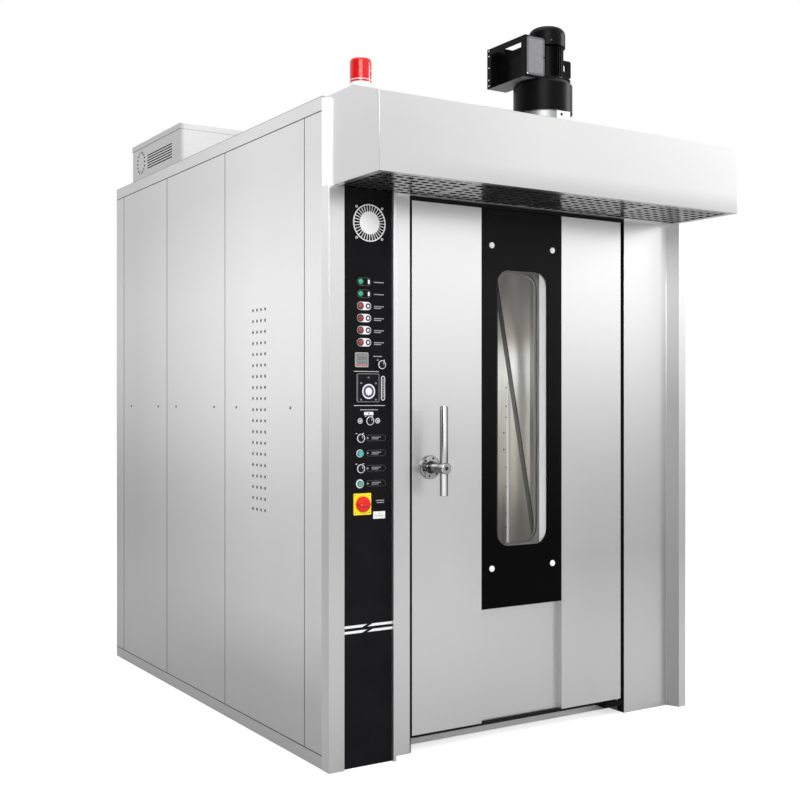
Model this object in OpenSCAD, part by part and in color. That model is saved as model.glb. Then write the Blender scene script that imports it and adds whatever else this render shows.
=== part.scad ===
// Rotating rack oven: insulated baking chamber with a rotor that turns a rolled-in rack,
// steam canopy, control column, side cladding, and the rotor drive and air fan on the roof.
// Places run from the cabinet's left front corner: X to the right, Y to the back, Z up.

/* [Cabinet] */
// Width of the cabinet
body_w = 1600; // [1500:10:1800]
// Depth of the cabinet behind the front corner strips
body_d = 2085; // [1950:5:2400]
// Height of the roof
body_h = 2200; // [1980:10:2350]
// Thickness of the outer sheet metal
sheet_t = 2; // [1:0.5:3]
// Height of the base rails and the top rails
rail_h = 45; // [35:1:70]
// How far the rails and posts reach into the cabinet
rail_w = 54; // [45:1:60]
// Width of the front corner posts
front_post_w = 124; // [90:1:160]
// Width of the rear corner posts
rear_post_w = 103; // [80:1:140]
// Width of the middle side panel
mid_panel_w = 607; // [450:1:700]
// Width of the rear side panel
rear_panel_w = 548; // [400:1:650]
// Depth of the folded edges of the cladding panels
panel_lip = 25; // [15:1:35]
// Gap between neighbouring cladding panels
seam = 3; // [2:0.5:5]

/* [Side vents] */
// Diameter of a vent hole
vent_d = 12; // [8:1:16]
// Columns of vent holes
vent_cols = 4; // [2:1:6]
// Rows of vent holes
vent_rows = 19; // [5:1:24]
// Distance between vent columns
vent_pitch_y = 33.5; // [20:0.5:45]
// Distance between vent rows
vent_pitch_z = 40; // [25:1:50]
// Centre of the vent field from the cabinet front
vent_y = 525.5; // [400:0.5:650]
// Centre of the vent field above the floor
vent_z = 1172; // [900:1:1400]

/* [Front] */
// Depth of the door recess behind the corner strips
front_step = 48; // [40:1:60]
// Width of the left corner strip
left_strip_w = 54; // [40:1:70]
// Width of the right corner strip
right_strip_w = 33; // [25:1:60]
// Sideways run of the slanted return beside the right strip
right_slant = 22; // [0:1:30]
// Right edge of the control column
column_w = 254; // [240:1:280]
// Width of the strip that closes the control column on its right
column_edge_w = 8; // [6:1:14]
// Depth of the control panel behind the corner strips
panel_recess = 11; // [6:1:20]
// Thickness of the control panel
panel_t = 3; // [2:0.5:5]

/* [Doorway and door] */
// Left side of the doorway
opening_x = 337; // [310:1:345]
// Width of the doorway
opening_w = 985; // [940:1:1000]
// Distance of the top of the doorway below the roof
opening_drop = 300; // [298:1:340]
// Depth of the insulated portal round the doorway
portal_d = 73; // [60:1:80]
// Gap between the doorway and the latch side of the door
gap_left = 12; // [10:1:16]
// Gap between the doorway and the hinge side of the door
gap_right = 18; // [17:1:24]
// Underside of the door
door_bottom = 58; // [56:1:70]
// Gap between the top of the door and the doorway
gap_top = 10; // [9:1:16]
// Thickness of the door
door_t = 80; // [70:1:84]
// Width of the sunk middle channel of the door
channel_w = 368; // [340:1:400]
// Depth of the sunk middle channel
channel_d = 23; // [19:1:28]
// Lower edge of the door glass
glass_z = 461; // [420:1:560]
// Thickness of the door glass
glass_t = 8; // [6:1:10]
// Width of the window
window_w = 232; // [180:1:260]
// Lower edge of the window
window_z = 680; // [600:1:760]
// Distance of the window below the top of the door
window_drop = 215; // [170:1:360]
// Corner radius of the window
window_r = 55; // [30:1:80]
// Distance of the hinge axis from the hinge edge of the door
pivot_inset = 8; // [8:0.5:9]
// Distance of the hinge axis behind the door face
pivot_depth = 16; // [14:0.5:16]
// Diameter of the hinge pins
pivot_pin_d = 14; // [10:1:14]

/* [Handle] */
// Distance of the handle axis from the latch edge of the door
handle_inset = 74; // [70:1:90]
// Height of the handle axis
handle_z = 975; // [900:1:1050]
// Diameter of the handle rose
rose_d = 82; // [70:1:90]
// Diameter of the lever bar
bar_d = 28; // [22:1:32]
// Length of the lever above the axis
bar_up = 211; // [150:1:240]
// Length of the lever below the axis
bar_down = 94; // [70:1:120]
// Distance of the lever bar from the door face
bar_out = 85; // [70:1:100]
// Diameter of the latch bolt
bolt_d = 16; // [12:1:20]
// Travel of the latch bolt
bolt_travel = 24; // [20:1:30]

/* [Canopy] */
// Reach of the canopy in front of the cabinet
canopy_out = 283; // [240:1:320]
// Distance of the canopy from the cabinet sides
canopy_inset = 18; // [10:1:30]
// Height of the canopy
canopy_h = 296; // [260:1:297]
// Reach of the flat top of the canopy
canopy_flat = 125; // [100:1:160]
// Drop of the sloping front edge of the canopy
canopy_drop = 50; // [30:1:80]
// Width of the lips under the canopy
canopy_lip = 25; // [18:1:35]
// Number of grille panels under the canopy
grille_count = 4; // [3:1:5]
// Slot columns in one grille panel
slot_cols = 10; // [6:1:11]
// Slot rows in one grille panel
slot_rows = 7; // [4:1:8]
// Length of a grille slot
slot_l = 27; // [16:1:28]
// Width of a grille slot
slot_w = 9; // [6:1:14]

/* [Chamber] */
// Inner width of the baking chamber
chamber_w = 1100; // [1070:1:1110]
// Inner depth of the baking chamber
chamber_d = 1085; // [1080:1:1100]
// Height of the chamber floor
floor_z = 30; // [20:1:32]
// Distance of the chamber ceiling below the roof
ceiling_drop = 265; // [250:1:275]
// Thickness of the insulated walls
wall_t = 80; // [60:1:82]
// Thickness of the chamber sheet metal
liner_t = 2; // [1:0.5:3]

/* [Rotor] */
// Distance of the rotor axis behind the chamber front
rotor_y = 535; // [533:1:540]
// Half width of the rotor carrier
carrier_x = 485; // [440:1:486]
// Half depth of the rotor carrier
carrier_y = 200; // [160:1:200]
// Thickness of the carrier bars
carrier_bar = 25; // [18:1:30]
// Diameter of the rotor shaft
shaft_d = 44; // [36:1:50]
// Belt radius on the rotor pulley
rotor_belt_r = 150; // [120:1:160]
// Belt radius on the drive pulley
drive_belt_r = 50; // [40:1:55]
// Width of the belt
belt_w = 22; // [16:1:26]
// Thickness of the belt
belt_t = 10; // [6:1:12]

/* [Gear motor] */
// Place of the gear axis from the left side
gear_x = 1020; // [980:1:1060]
// Place of the gear axis behind the cabinet front
gear_y = 170; // [165:1:200]
// Height of the pedestal
pedestal_h = 90; // [80:1:110]
// Diameter of the gear housing
gear_d = 224; // [190:1:240]
// Height of the gear housing
gear_h = 118; // [90:1:130]
// Sideways offset of the motor from the gear axis
motor_dx = 20; // [0:1:30]
// Diameter of the motor over its fins
motor_d = 126; // [100:1:126]
// Height of the finned motor body
motor_h = 120; // [100:1:150]
// Number of cooling fins
fin_count = 32; // [16:1:40]
// Diameter of the motor fan cover
cover_d = 140; // [128:1:150]
// Height of the motor fan cover
cover_h = 75; // [60:1:100]
// Width of the open bracket beside the motor
bracket_w = 92; // [80:1:94]
// Depth of the open bracket
bracket_d = 236; // [220:1:250]
// Height of the open bracket
bracket_h = 152; // [130:1:170]

/* [Roof box and air fan] */
// Distance of the roof box from the left side
roof_box_x = 44; // [30:1:80]
// Width of the roof box
roof_box_w = 700; // [600:5:800]
// Front of the roof box behind the cabinet front
roof_box_y = 1395; // [1385:1:1420]
// Depth of the roof box
roof_box_d = 590; // [560:1:600]
// Height of the roof box
roof_box_h = 186; // [180:1:220]
// Overlap of the roof box lid
lid_lip = 23; // [15:1:30]
// Diameter of the air impeller
impeller_d = 460; // [380:5:480]
// Height of the impeller blades
impeller_h = 110; // [80:1:130]
// Number of impeller blades
blade_count = 10; // [8:1:14]
// Number of heater rods
heater_count = 6; // [4:1:8]

/* [Beacon] */
// Diameter of the beacon lens
beacon_d = 70; // [50:1:80]
// Height of the beacon lens
beacon_h = 76; // [60:1:100]
// Place of the beacon from the left side
beacon_x = 77; // [65:1:120]
// Reach of the beacon axis in front of the cabinet
beacon_out = 70; // [50:1:85]

/* [Control panel] */
// Centre of the panel fan from the left side
fan_x = 157; // [150:1:165]
// Distance of the panel fan below the canopy
fan_drop = 112; // [104:1:140]
// Diameter of the panel fan guard
fan_d = 126; // [110:1:130]
// Number of slots in the fan guard
guard_slots = 32; // [16:1:36]
// Left column of lamps, knobs and buttons
device_x = 121; // [115:1:126]
// Distance of the lowest lamp below the canopy
lamp_drop = 507; // [504:1:514]
// Distance between lamps
lamp_pitch = 40; // [34:1:40]
// Number of lamps
lamp_count = 6; // [4:1:6]
// Distance of the lowest push button below the canopy
button_drop = 973; // [964:1:979]
// Distance between the lower knobs and buttons
button_pitch = 50; // [44:1:52]
// Diameter of knobs and buttons
device_d = 19; // [16:1:20]
// Press of a push button
button_press = 4; // [3:0.5:5]

/* [Hidden] */

$fn = 96;
fit = 0.05;          // radial running clearance of a shaft in its bore
clear = 0.3;         // gap between a moving piece and its neighbour
joint_gap = 0.2;     // gap where frame bars butt against each other
through = 1;         // how far a cut runs past the face it opens

// cabinet
front_y = -(body_d - canopy_out) / 2;
back_y = body_d;
top_z = body_h - sheet_t;
canopy_z = body_h - canopy_h;
opening_top = body_h - opening_drop;
ceiling_z = body_h - ceiling_drop;
rail_top_z = top_z - rail_h;
pillar_corner = right_strip_w + right_slant
    - sheet_t * norm([right_slant, front_step]) / front_step;
rail_reach = min(rail_w, pillar_corner - joint_gap);
rail_t = 4;
side_front_y = front_step + front_post_w;
side_back_y = back_y - rear_post_w;
rear_seam_y = side_back_y - rear_panel_w;
mid_seam_y = rear_seam_y - mid_panel_w;
panel_z0 = rail_h;
panel_z1 = rail_top_z - seam / 2;
right_x = body_w;
strip_x = right_x - right_strip_w;

// doorway and door
opening_x1 = opening_x + opening_w;
portal_y = front_step + 12;
chamber_y = portal_y + portal_d;
portal_t = 4;
door_x0 = opening_x + gap_left;
door_x1 = opening_x1 - gap_right;
door_w = door_x1 - door_x0;
door_top = opening_top - gap_top;
door_y0 = front_step;
door_y1 = front_step + door_t;
door_cx = (door_x0 + door_x1) / 2;
channel_x0 = door_cx - channel_w / 2;
channel_x1 = door_cx + channel_w / 2;
channel_y = door_y0 + channel_d;
glass_gap = 1.5;
window_x0 = door_cx - window_w / 2;
pivot_x = door_x1 - pivot_inset;
pivot_y = door_y0 + pivot_depth;
window_h = door_top - window_drop - window_z;
bracket_reach = 70;
foot_gap = 8;
foot_bracket_t = 20;
pin_l = 14;
top_pin_l = gap_top - 0.5;
bracket_t = 6;
handle_x = door_x0 + handle_inset;
rose_t = 8;
neck_d = 36;
hub_d = 40;
spindle_d = 14;
spindle_inset = 52;
spindle_y = door_y0 + spindle_inset;
bolt_inset = 32;
bolt_y = door_y0 + bolt_inset;
hub_over = 3;
bolt_l = handle_inset - spindle_d;
keeper_depth = 40;
standoff_d = 22;
standoff_neck_d = 12;
standoff_dx = 139;
standoff_low = 143;
standoff_high = 130;
standoff_z = [glass_z + standoff_low, door_top - standoff_high];
inner_pane_t = 6;
inner_pane_y = door_y1 - 16;
pane_rim = 9;
keeper_w = bolt_d + 4;

// chamber, concentric with the door
chamber_x0 = door_cx - chamber_w / 2;
chamber_x1 = door_cx + chamber_w / 2;
outer_x0 = chamber_x0 - wall_t;
outer_x1 = chamber_x1 + wall_t;
chamber_y1 = chamber_y + chamber_d;
outer_y1 = chamber_y1 + wall_t;
ceiling_z1 = ceiling_z + wall_t;
rotor_cy = chamber_y + rotor_y;
shaft_hole_d = shaft_d + 8;
return_w = 620;
return_h = 360;
return_drop = 455;
return_z = ceiling_z - return_drop;
supply_w = 620;
supply_h = 500;
supply_up = 90;
supply_z = floor_z + supply_up;
louver_t = 14;

// canopy
canopy_x0 = canopy_inset;
canopy_x1 = body_w - canopy_inset;
canopy_profile = [[front_step, body_h - sheet_t], [front_step, body_h], [-canopy_flat, body_h],
    [-canopy_out, body_h - canopy_drop], [-canopy_out, canopy_z],
    [canopy_lip - canopy_out, canopy_z]];
grille_z = canopy_z + sheet_t;
grille_rim = 9;
grille_w = (canopy_x1 - canopy_x0 - 2 * sheet_t) / grille_count;
grille_y0 = -canopy_out + sheet_t;
grille_y1 = front_step - 1;

// rotor and belt drive
belt_z = body_h + 32;
pulley_h = belt_w + 12;
belt_dx = door_cx - gear_x;
belt_dy = rotor_cy - gear_y;
belt_c = norm([belt_dx, belt_dy]);
belt_a = atan2(belt_dy, belt_dx);
bearing_h = 24;
carrier_top = ceiling_z - 35;
carrier_beam = 40;
carrier_bottom = floor_z + 20;
brace_t = 5;
brace_w = 25;
brace_up = 290;      // height of a brace's foot above the carrier's bottom bar
guard_h = pedestal_h - 9;
guard_t = 2;
pedestal_d = 207;
gear_z = body_h + pedestal_h;
motor_x = gear_x + motor_dx;
motor_flange_t = 15;
motor_ring_t = 8;
flange_z = gear_z + gear_h;
motor_z = flange_z + motor_flange_t + motor_ring_t;
cover_z = motor_z + motor_h - 4;
output_d = 30;
lug_w = 62;
lug_h = 67;
bracket_x1 = motor_x - motor_d / 2 - 5;
bracket_inner_x = motor_x - cover_d / 2 - 1;
bracket_y = gear_y - 70;
bracket_z = flange_z;
bracket_sheet = 3;

// roof box and air fan
air_x = roof_box_x + roof_box_w / 2;
air_y = roof_box_y + roof_box_d / 2;
air_shaft_d = 28;
fan_motor_d = 190;
fan_motor_h = 150;
impeller_drop = 300;
impeller_z = body_h - impeller_drop;
louver_rows = 6;
heater_plate_w = 900;
heater_plate_d = 240;
heater_drop = 535;
heater_pitch = 140;
heater_l = 900;
heater_d = 16;
heater_gap = 70;

// control panel
panel_y = panel_recess;
panel_x0 = left_strip_w;
panel_x1 = column_w - column_edge_w;
panel_back_y = panel_y + panel_t;
fan_z = canopy_z - fan_drop;
lamp_z = canopy_z - lamp_drop;
button_z = canopy_z - button_drop;
display_w = 48;
display_x = 126;
display_z = canopy_z - 565;
touch_w = 84;
touch_h = 94;
touch_x = 149.5;
touch_z = canopy_z - 657;
selector_x = 156;
selector_z = canopy_z - 766;
buzzer_x = 202;
buzzer_z = canopy_z - 580;
switch_x = 129;
switch_z = canopy_z - 1040;
switch_plate_w = 66;
switch_plate_h = 71;
switch_knob_d = 41;
fan_frame_t = 38;
stem_d = 10;

steel = [0.80, 0.81, 0.82];
bright_steel = [0.88, 0.89, 0.90];
dark_steel = [0.55, 0.56, 0.57];
black = [0.07, 0.07, 0.07];
rubber_black = [0.03, 0.03, 0.03];
wool = [0.78, 0.72, 0.55];
red = [0.85, 0.05, 0.05];
green = [0.05, 0.65, 0.35];
teal = [0.10, 0.60, 0.58];
yellow = [0.95, 0.85, 0.05];
smoke_glass = [0.05, 0.05, 0.06];
clear_glass = [0.70, 0.80, 0.80, 0.4];

// ---------- helpers ----------
// Moves the corner-based places so that the origin is under the middle of the whole oven
module placed() translate([-body_w / 2, front_y, 0]) children();

module span(xs, ys, zs)
    translate([xs[0], ys[0], zs[0]]) cube([xs[1] - xs[0], ys[1] - ys[0], zs[1] - zs[0]]);

module rod_x(l, d) rotate([0, 90, 0]) cylinder(h = l, d = d);
module rod_y(l, d) rotate([-90, 0, 0]) cylinder(h = l, d = d);

// Copies the children on the right half, mirrored about the plane x
module both_sides(x) {
    children();
    translate([2 * x, 0, 0]) mirror([1, 0, 0]) children();
}

// Extrudes a (y, z) outline along X
module along_x(x, l) translate([x, 0, 0]) rotate([90, 0, 90]) linear_extrude(l) children();
// Extrudes an (x, z) outline along Y
module along_y(y, l) translate([0, y + l, 0]) rotate([90, 0, 0]) linear_extrude(l) children();

module rounded_rect(w, h, r) {
    translate([-w / 2, r - h / 2]) square([w, h - 2 * r]);
    translate([r - w / 2, -h / 2]) square([w - 2 * r, h]);
    for (x = [r - w / 2, w / 2 - r], y = [r - h / 2, h / 2 - r]) translate([x, y]) circle(r);
}

function unit(v) = v / norm(v);
function left_of(d) = [-d[1], d[0]];
function edge_normal(path, i) = left_of(unit(path[i + 1] - path[i]));
function mitre(path, i, t) = let (
        a = edge_normal(path, max(i - 1, 0)),
        b = edge_normal(path, min(i, len(path) - 2)))
    path[i] + t * (a + b) / (1 + a * b);

// A bent sheet of thickness t, seen on edge, on the left of its path
module bent_sheet(path, t) {
    n = len(path);
    polygon(concat(path, [for (i = [n - 1:-1:0]) mitre(path, i, t)]));
}

// Outline of a band round two circles, the second at distance c and direction a
module two_circles(r1, r2, c, a) {
    k = acos((r1 - r2) / c);
    far = c * [cos(a), sin(a)];
    s1 = r1 - 0.05;
    s2 = r2 - 0.05;
    circle(r1, $fn = 180);
    translate(far) circle(r2, $fn = 180);
    polygon([s1 * [cos(a + k), sin(a + k)], s1 * [cos(a - k), sin(a - k)],
        far + s2 * [cos(a - k), sin(a - k)], far + s2 * [cos(a + k), sin(a + k)]]);
}

// A cladding panel folded from sheet, its face at x = 0 and its edges turned inward
module folded_panel(y0, y1, z0, z1)
    difference() {
        span([0, panel_lip], [y0, y1], [z0, z1]);
        span([sheet_t, panel_lip + through], [y0 + sheet_t, y1 - sheet_t],
            [z0 + sheet_t, z1 - sheet_t]);
    }

// ---------- frame and cladding ----------
// A folded channel whose side towards +X (dx = 1) or towards dy is left open
module frame_bar(xs, ys, zs, dx = 0, dy = 0)
    difference() {
        span(xs, ys, zs);
        span([xs[0] + rail_t, xs[1] - rail_t + dx * (rail_t + through)],
            [ys[0] + rail_t - max(-dy, 0) * (rail_t + through),
                ys[1] - rail_t + max(dy, 0) * (rail_t + through)],
            [zs[0] + rail_t, zs[1] - rail_t]);
    }

module base_frame()
    color(steel) placed() {
        both_sides(body_w / 2)
            frame_bar([0, rail_reach], [front_step, back_y], [0, rail_h], dx = 1);
        for (y = [outer_y1 + joint_gap, back_y - rail_w])
            frame_bar([rail_reach + joint_gap, body_w - rail_reach - joint_gap],
                [y, y + rail_w], [0, rail_h], dy = y > outer_y1 + 1 ? -1 : 1);
        for (xs = [[rail_reach + joint_gap, outer_x0 - joint_gap],
                [outer_x1 + joint_gap, body_w - rail_reach - joint_gap]])
            frame_bar(xs, [portal_y, portal_y + rail_w], [0, rail_h], dy = 1);
    }

module corner_post(y0, y1)
    difference() {
        span([0, rail_reach], [y0, y1], [rail_h, rail_top_z - joint_gap]);
        span([sheet_t, rail_reach + through], [y0 + sheet_t, y1 - sheet_t],
            [rail_h - through, rail_top_z + through]);
    }

module upper_frame()
    color(steel) placed() {
        both_sides(body_w / 2) {
            corner_post(front_step, side_front_y);
            corner_post(side_back_y, back_y);
            frame_bar([0, rail_reach], [front_step, back_y], [rail_top_z, top_z], dx = 1);
        }
        for (y = [front_step, back_y - rail_w])
            frame_bar([rail_reach + joint_gap, body_w - rail_reach - joint_gap], [y, y + rail_w],
                [rail_top_z, top_z], dy = y > front_step ? -1 : 1);
    }

module vent_holes()
    for (c = [0:vent_cols - 1], r = [0:vent_rows - 1])
        translate([-through, vent_y + (c - (vent_cols - 1) / 2) * vent_pitch_y,
            vent_z + (r - (vent_rows - 1) / 2) * vent_pitch_z])
            rod_x(sheet_t + 2 * through, vent_d);

module left_vented_panel()
    color(steel) placed() difference() {
        folded_panel(side_front_y + seam / 2, mid_seam_y - seam / 2, panel_z0, panel_z1);
        vent_holes();
    }

module plain_side_panels()
    color(steel) placed() {
        both_sides(body_w / 2) {
            folded_panel(mid_seam_y + seam / 2, rear_seam_y - seam / 2, panel_z0, panel_z1);
            folded_panel(rear_seam_y + seam / 2, side_back_y - seam / 2, panel_z0, panel_z1);
        }
        translate([body_w, 0, 0]) mirror([1, 0, 0])
            folded_panel(side_front_y + seam / 2, mid_seam_y - seam / 2, panel_z0, panel_z1);
    }

module rear_panels()
    color(steel) placed() both_sides(body_w / 2)
        translate([0, back_y, 0]) rotate([0, 0, -90])
            folded_panel(rail_reach + seam / 2, body_w / 2 - seam / 2, panel_z0, panel_z1);

module roof_panel()
    color(steel) placed() difference() {
        span([0, body_w], [front_step, back_y], [top_z, body_h]);
        translate([door_cx, rotor_cy, top_z - through])
            cylinder(h = sheet_t + 2 * through, d = shaft_hole_d);
        translate([air_x, air_y, top_z - through])
            cylinder(h = sheet_t + 2 * through, d = air_shaft_d + 12);
    }

module side_screw() rotate([0, -90, 0]) cylinder(h = 2, d1 = 11, d2 = 8);

module panel_screws()
    color(bright_steel) placed() {
        screw_z = 1180;
        edge = 104;
        both_sides(body_w / 2)
            for (ys = [[side_front_y, mid_seam_y], [mid_seam_y, rear_seam_y],
                    [rear_seam_y, side_back_y]], y = [ys[0] + edge, ys[1] - edge])
                translate([0, y, screw_z]) side_screw();
    }

// ---------- front ----------
module control_post()
    color(steel) placed() linear_extrude(canopy_z)
        bent_sheet([[0, front_step], [0, 0], [left_strip_w, 0],
            [left_strip_w, panel_back_y], [left_strip_w + 26, panel_back_y]], sheet_t);

module left_pillar()
    color(steel) placed() linear_extrude(canopy_z)
        bent_sheet([[panel_x1 - 26, panel_back_y], [panel_x1, panel_back_y],
            [panel_x1, 0], [column_w, 0], [column_w, front_step],
            [opening_x, front_step], [opening_x, portal_y]], sheet_t);

module right_pillar()
    color(steel) placed() linear_extrude(canopy_z)
        bent_sheet([[opening_x1, portal_y], [opening_x1, front_step],
            [strip_x - right_slant, front_step], [strip_x, 0], [right_x, 0],
            [right_x, front_step]], sheet_t);

// The hollow inside a jamb between two heights
module tube_bore(x0, x1, z0, z1)
    span([x0 + portal_t, x1 - portal_t], [portal_y + portal_t, chamber_y - portal_t], [z0, z1]);

// The latch jamb, built up around the square pocket that takes the bolt
module latch_jamb() {
    pocket_x = opening_x - keeper_depth;
    z0 = handle_z - keeper_w / 2;
    z1 = handle_z + keeper_w / 2;
    y0 = bolt_y - keeper_w / 2;
    y1 = bolt_y + keeper_w / 2;
    difference() {
        span([outer_x0, opening_x], [portal_y, chamber_y], [0, z0 - joint_gap]);
        tube_bore(outer_x0, opening_x, -through, z0 - 20);
    }
    difference() {
        span([outer_x0, opening_x], [portal_y, chamber_y], [z1 + joint_gap, rail_top_z]);
        tube_bore(outer_x0, opening_x, z1 + 20, rail_top_z + through);
    }
    span([outer_x0, pocket_x - joint_gap], [portal_y, chamber_y], [z0, z1]);
    span([pocket_x, opening_x], [portal_y, y0], [z0, z1]);
    span([pocket_x, opening_x], [y1, chamber_y], [z0, z1]);
}

module door_frame()
    color(dark_steel) placed() {
        latch_jamb();
        difference() {
            span([opening_x1, outer_x1], [portal_y, chamber_y], [0, rail_top_z]);
            tube_bore(opening_x1, outer_x1, -through, rail_top_z + through);
        }
        difference() {
            span([opening_x + joint_gap, opening_x1 - joint_gap], [portal_y, chamber_y],
                [opening_top, rail_top_z]);
            span([opening_x, opening_x1], [portal_y + portal_t, chamber_y - portal_t],
                [opening_top + portal_t, rail_top_z - portal_t]);
        }
    }

// A seal strip seen on edge: a flat foot and a round bulb
module seal_profile(depth, width) {
    square([depth - width / 2, width]);
    translate([depth - width / 2, width / 2]) circle(d = width);
}

module jamb_seal()
    color(rubber_black) placed() {
        seal_w = 34;
        seal_y = door_y1 - seal_w - 2;
        side_seal_d = 7;
        span([opening_x, opening_x + side_seal_d - 2], [seal_y, seal_y + seal_w],
            [floor_z, opening_top]);
        for (y = [seal_y + 5, seal_y + seal_w - 5])
            translate([opening_x + side_seal_d - 2, y, floor_z])
                cylinder(h = opening_top - floor_z, d = 4);
        span([door_x1 + 2, opening_x1], [seal_y, seal_y + seal_w],
            [floor_z + 60, opening_top - 10]);
    }

module hinge_bracket(z0, z1, y1)
    difference() {
        span([pivot_x - bracket_reach, opening_x1], [door_y0 + sheet_t, y1], [z0, z1]);
        translate([pivot_x, pivot_y, z0 - through])
            cylinder(h = z1 - z0 + 2 * through, d = pivot_pin_d + 2 * fit);
    }

module pivot_brackets()
    color(black) placed() {
        hinge_bracket(opening_top - bracket_t, opening_top, chamber_y - foot_bracket_t);
        hinge_bracket(door_bottom - foot_gap - foot_bracket_t, door_bottom - foot_gap, chamber_y);
    }

// ---------- canopy ----------
module canopy_shell()
    color(steel) placed() {
        along_x(canopy_x0, canopy_x1 - canopy_x0) bent_sheet(canopy_profile, sheet_t);
        for (x = [canopy_x0, canopy_x1 - sheet_t])
            along_x(x, sheet_t)
                polygon([[front_step, canopy_z], [front_step, body_h], [-canopy_flat, body_h],
                    [-canopy_out, body_h - canopy_drop], [-canopy_out, canopy_z]]);
        for (x = [canopy_x0, canopy_x1 - canopy_lip])
            span([x, x + canopy_lip], [-canopy_out, front_step], [canopy_z, grille_z]);
        span([canopy_x0, canopy_x1], [front_step - canopy_lip, front_step],
            [canopy_z, grille_z]);
        span([canopy_x0, canopy_x1], [front_step - sheet_t, front_step],
            [rail_top_z, body_h]);
    }

module grille_panel(x0, x1)
    difference() {
        span([x0, x1], [grille_y0, grille_y1], [grille_z, grille_z + grille_rim]);
        span([x0 + sheet_t, x1 - sheet_t], [grille_y0 + sheet_t, grille_y1 - sheet_t],
            [grille_z - through, grille_z + grille_rim - sheet_t]);
        field_x = x1 - x0 - 2 * canopy_lip;
        field_y = grille_y1 - grille_y0 - 2 * canopy_lip - 10;
        for (c = [0:slot_cols - 1], r = [0:slot_rows - 1])
            translate([x0 + canopy_lip + (c + 0.5) * field_x / slot_cols - slot_l / 2,
                grille_y0 + canopy_lip + 5 + (r + 0.5) * field_y / slot_rows - slot_w / 2,
                grille_z])
                cube([slot_l, slot_w, grille_rim + through]);
    }

module canopy_grilles()
    color(dark_steel) placed()
        for (i = [0:grille_count - 1])
            grille_panel(canopy_x0 + sheet_t + i * grille_w + seam / 2,
                canopy_x0 + sheet_t + (i + 1) * grille_w - seam / 2);

module at_beacon() translate([beacon_x, -beacon_out, body_h]) children();

module beacon_base()
    color(bright_steel) placed() at_beacon() cylinder(h = 24, d = beacon_d - 2);

module beacon_lens()
    color(red) placed() at_beacon() translate([0, 0, 24])
        rotate_extrude() {
            lens_r = beacon_d / 2;
            square([lens_r, 12]);
            translate([0, 12]) square([lens_r - 1.5, 3]);
            translate([0, 15]) square([lens_r, beacon_h - 20]);
            translate([0, beacon_h - 5]) square([lens_r - 5, 5]);
            translate([lens_r - 5, beacon_h - 5]) circle(5);
        }

// ---------- control panel ----------
module panel_hole(x, z, d)
    translate([x, panel_y - through, z]) rod_y(panel_t + 2 * through, d);

function row_z(i) = button_z + i * button_pitch;

module control_panel()
    color(black) placed() difference() {
        span([panel_x0, panel_x1], [panel_y, panel_back_y], [0, canopy_z]);
        panel_hole(fan_x, fan_z, fan_d - 22);
        for (i = [0:3]) panel_hole(device_x, row_z(i), stem_d + 2 * fit);
        panel_hole(selector_x, selector_z, stem_d + 2 * fit);
        panel_hole(buzzer_x, buzzer_z, stem_d + 2 * fit);
        panel_hole(switch_x, switch_z, stem_d + 2 * fit);
    }

module fan_guard()
    color(bright_steel) placed() {
        guard_thick = 4;
        rim_w = 6;
        spoke_w = 3;
        hub_r = fan_d * 0.31;
        gap_r = [hub_r, fan_d / 2 - rim_w];
        half_gap = [for (r = gap_r) r * tan(180 / guard_slots) - spoke_w / 2];
        difference() {
            translate([fan_x, panel_y - guard_thick, fan_z]) rod_y(guard_thick, fan_d);
            for (i = [0:guard_slots - 1])
                translate([fan_x, 0, fan_z]) rotate([0, i * 360 / guard_slots, 0])
                    along_y(-through, panel_y + 2 * through)
                        polygon([[gap_r[0], -half_gap[0]], [gap_r[1], -half_gap[1]],
                            [gap_r[1], half_gap[1]], [gap_r[0], half_gap[0]]]);
        }
        for (x = [-49, 49], z = [-51, 51])
            translate([fan_x + x, panel_y - 3, fan_z + z]) rod_y(3, 8);
        difference() {
            translate([fan_x, panel_back_y, fan_z]) {
                span([-fan_d / 2, fan_d / 2], [0, fan_frame_t], [-fan_d / 2, fan_d / 2]);
            }
            translate([fan_x, panel_back_y - through, fan_z])
                rod_y(fan_frame_t - 6 + through, fan_d - 14);
            for (i = [0:3])
                translate([fan_x, 0, fan_z]) rotate([0, i * 90, 0]) intersection() {
                    translate([0, panel_back_y, 0]) rod_y(fan_frame_t + through, fan_d - 14);
                    span([6, fan_d], [0, 200], [6, fan_d]);
                    difference() {
                        rod_y(200, fan_d);
                        translate([0, -through, 0]) rod_y(200 + 2 * through, 46);
                    }
                }
        }
    }

module indicator_lamps()
    color(green) placed()
        for (i = [0:lamp_count - 1])
            translate([device_x + 2, panel_y - 5, lamp_z + i * lamp_pitch]) rod_y(5, device_d);

module panel_displays()
    color(black) placed() {
        along_y(panel_y - 6, 6) translate([display_x, display_z])
            rounded_rect(display_w, display_w, 3);
        along_y(panel_y - 7, 7) translate([touch_x, touch_z])
            rounded_rect(touch_w, touch_h, 4);
    }

module main_switch_plate()
    color(yellow) placed() difference() {
        along_y(panel_y - 4, 4) translate([switch_x, switch_z])
            rounded_rect(switch_plate_w, switch_plate_h, 3);
        translate([switch_x, panel_y - 4 - through, switch_z])
            rod_y(4 + 2 * through, stem_d + 2 * fit);
    }

// A device that passes through the panel: a head in front and a stem in the bore
module stem(x, z, head_y)
    translate([x, head_y, z]) rod_y(panel_back_y + 12 - head_y, stem_d);

module push_button(z) {
    head_y = panel_y - button_press - 2;
    translate([device_x, head_y - 4, z]) rod_y(5, device_d);
    stem(device_x, z, head_y);
}

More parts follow.
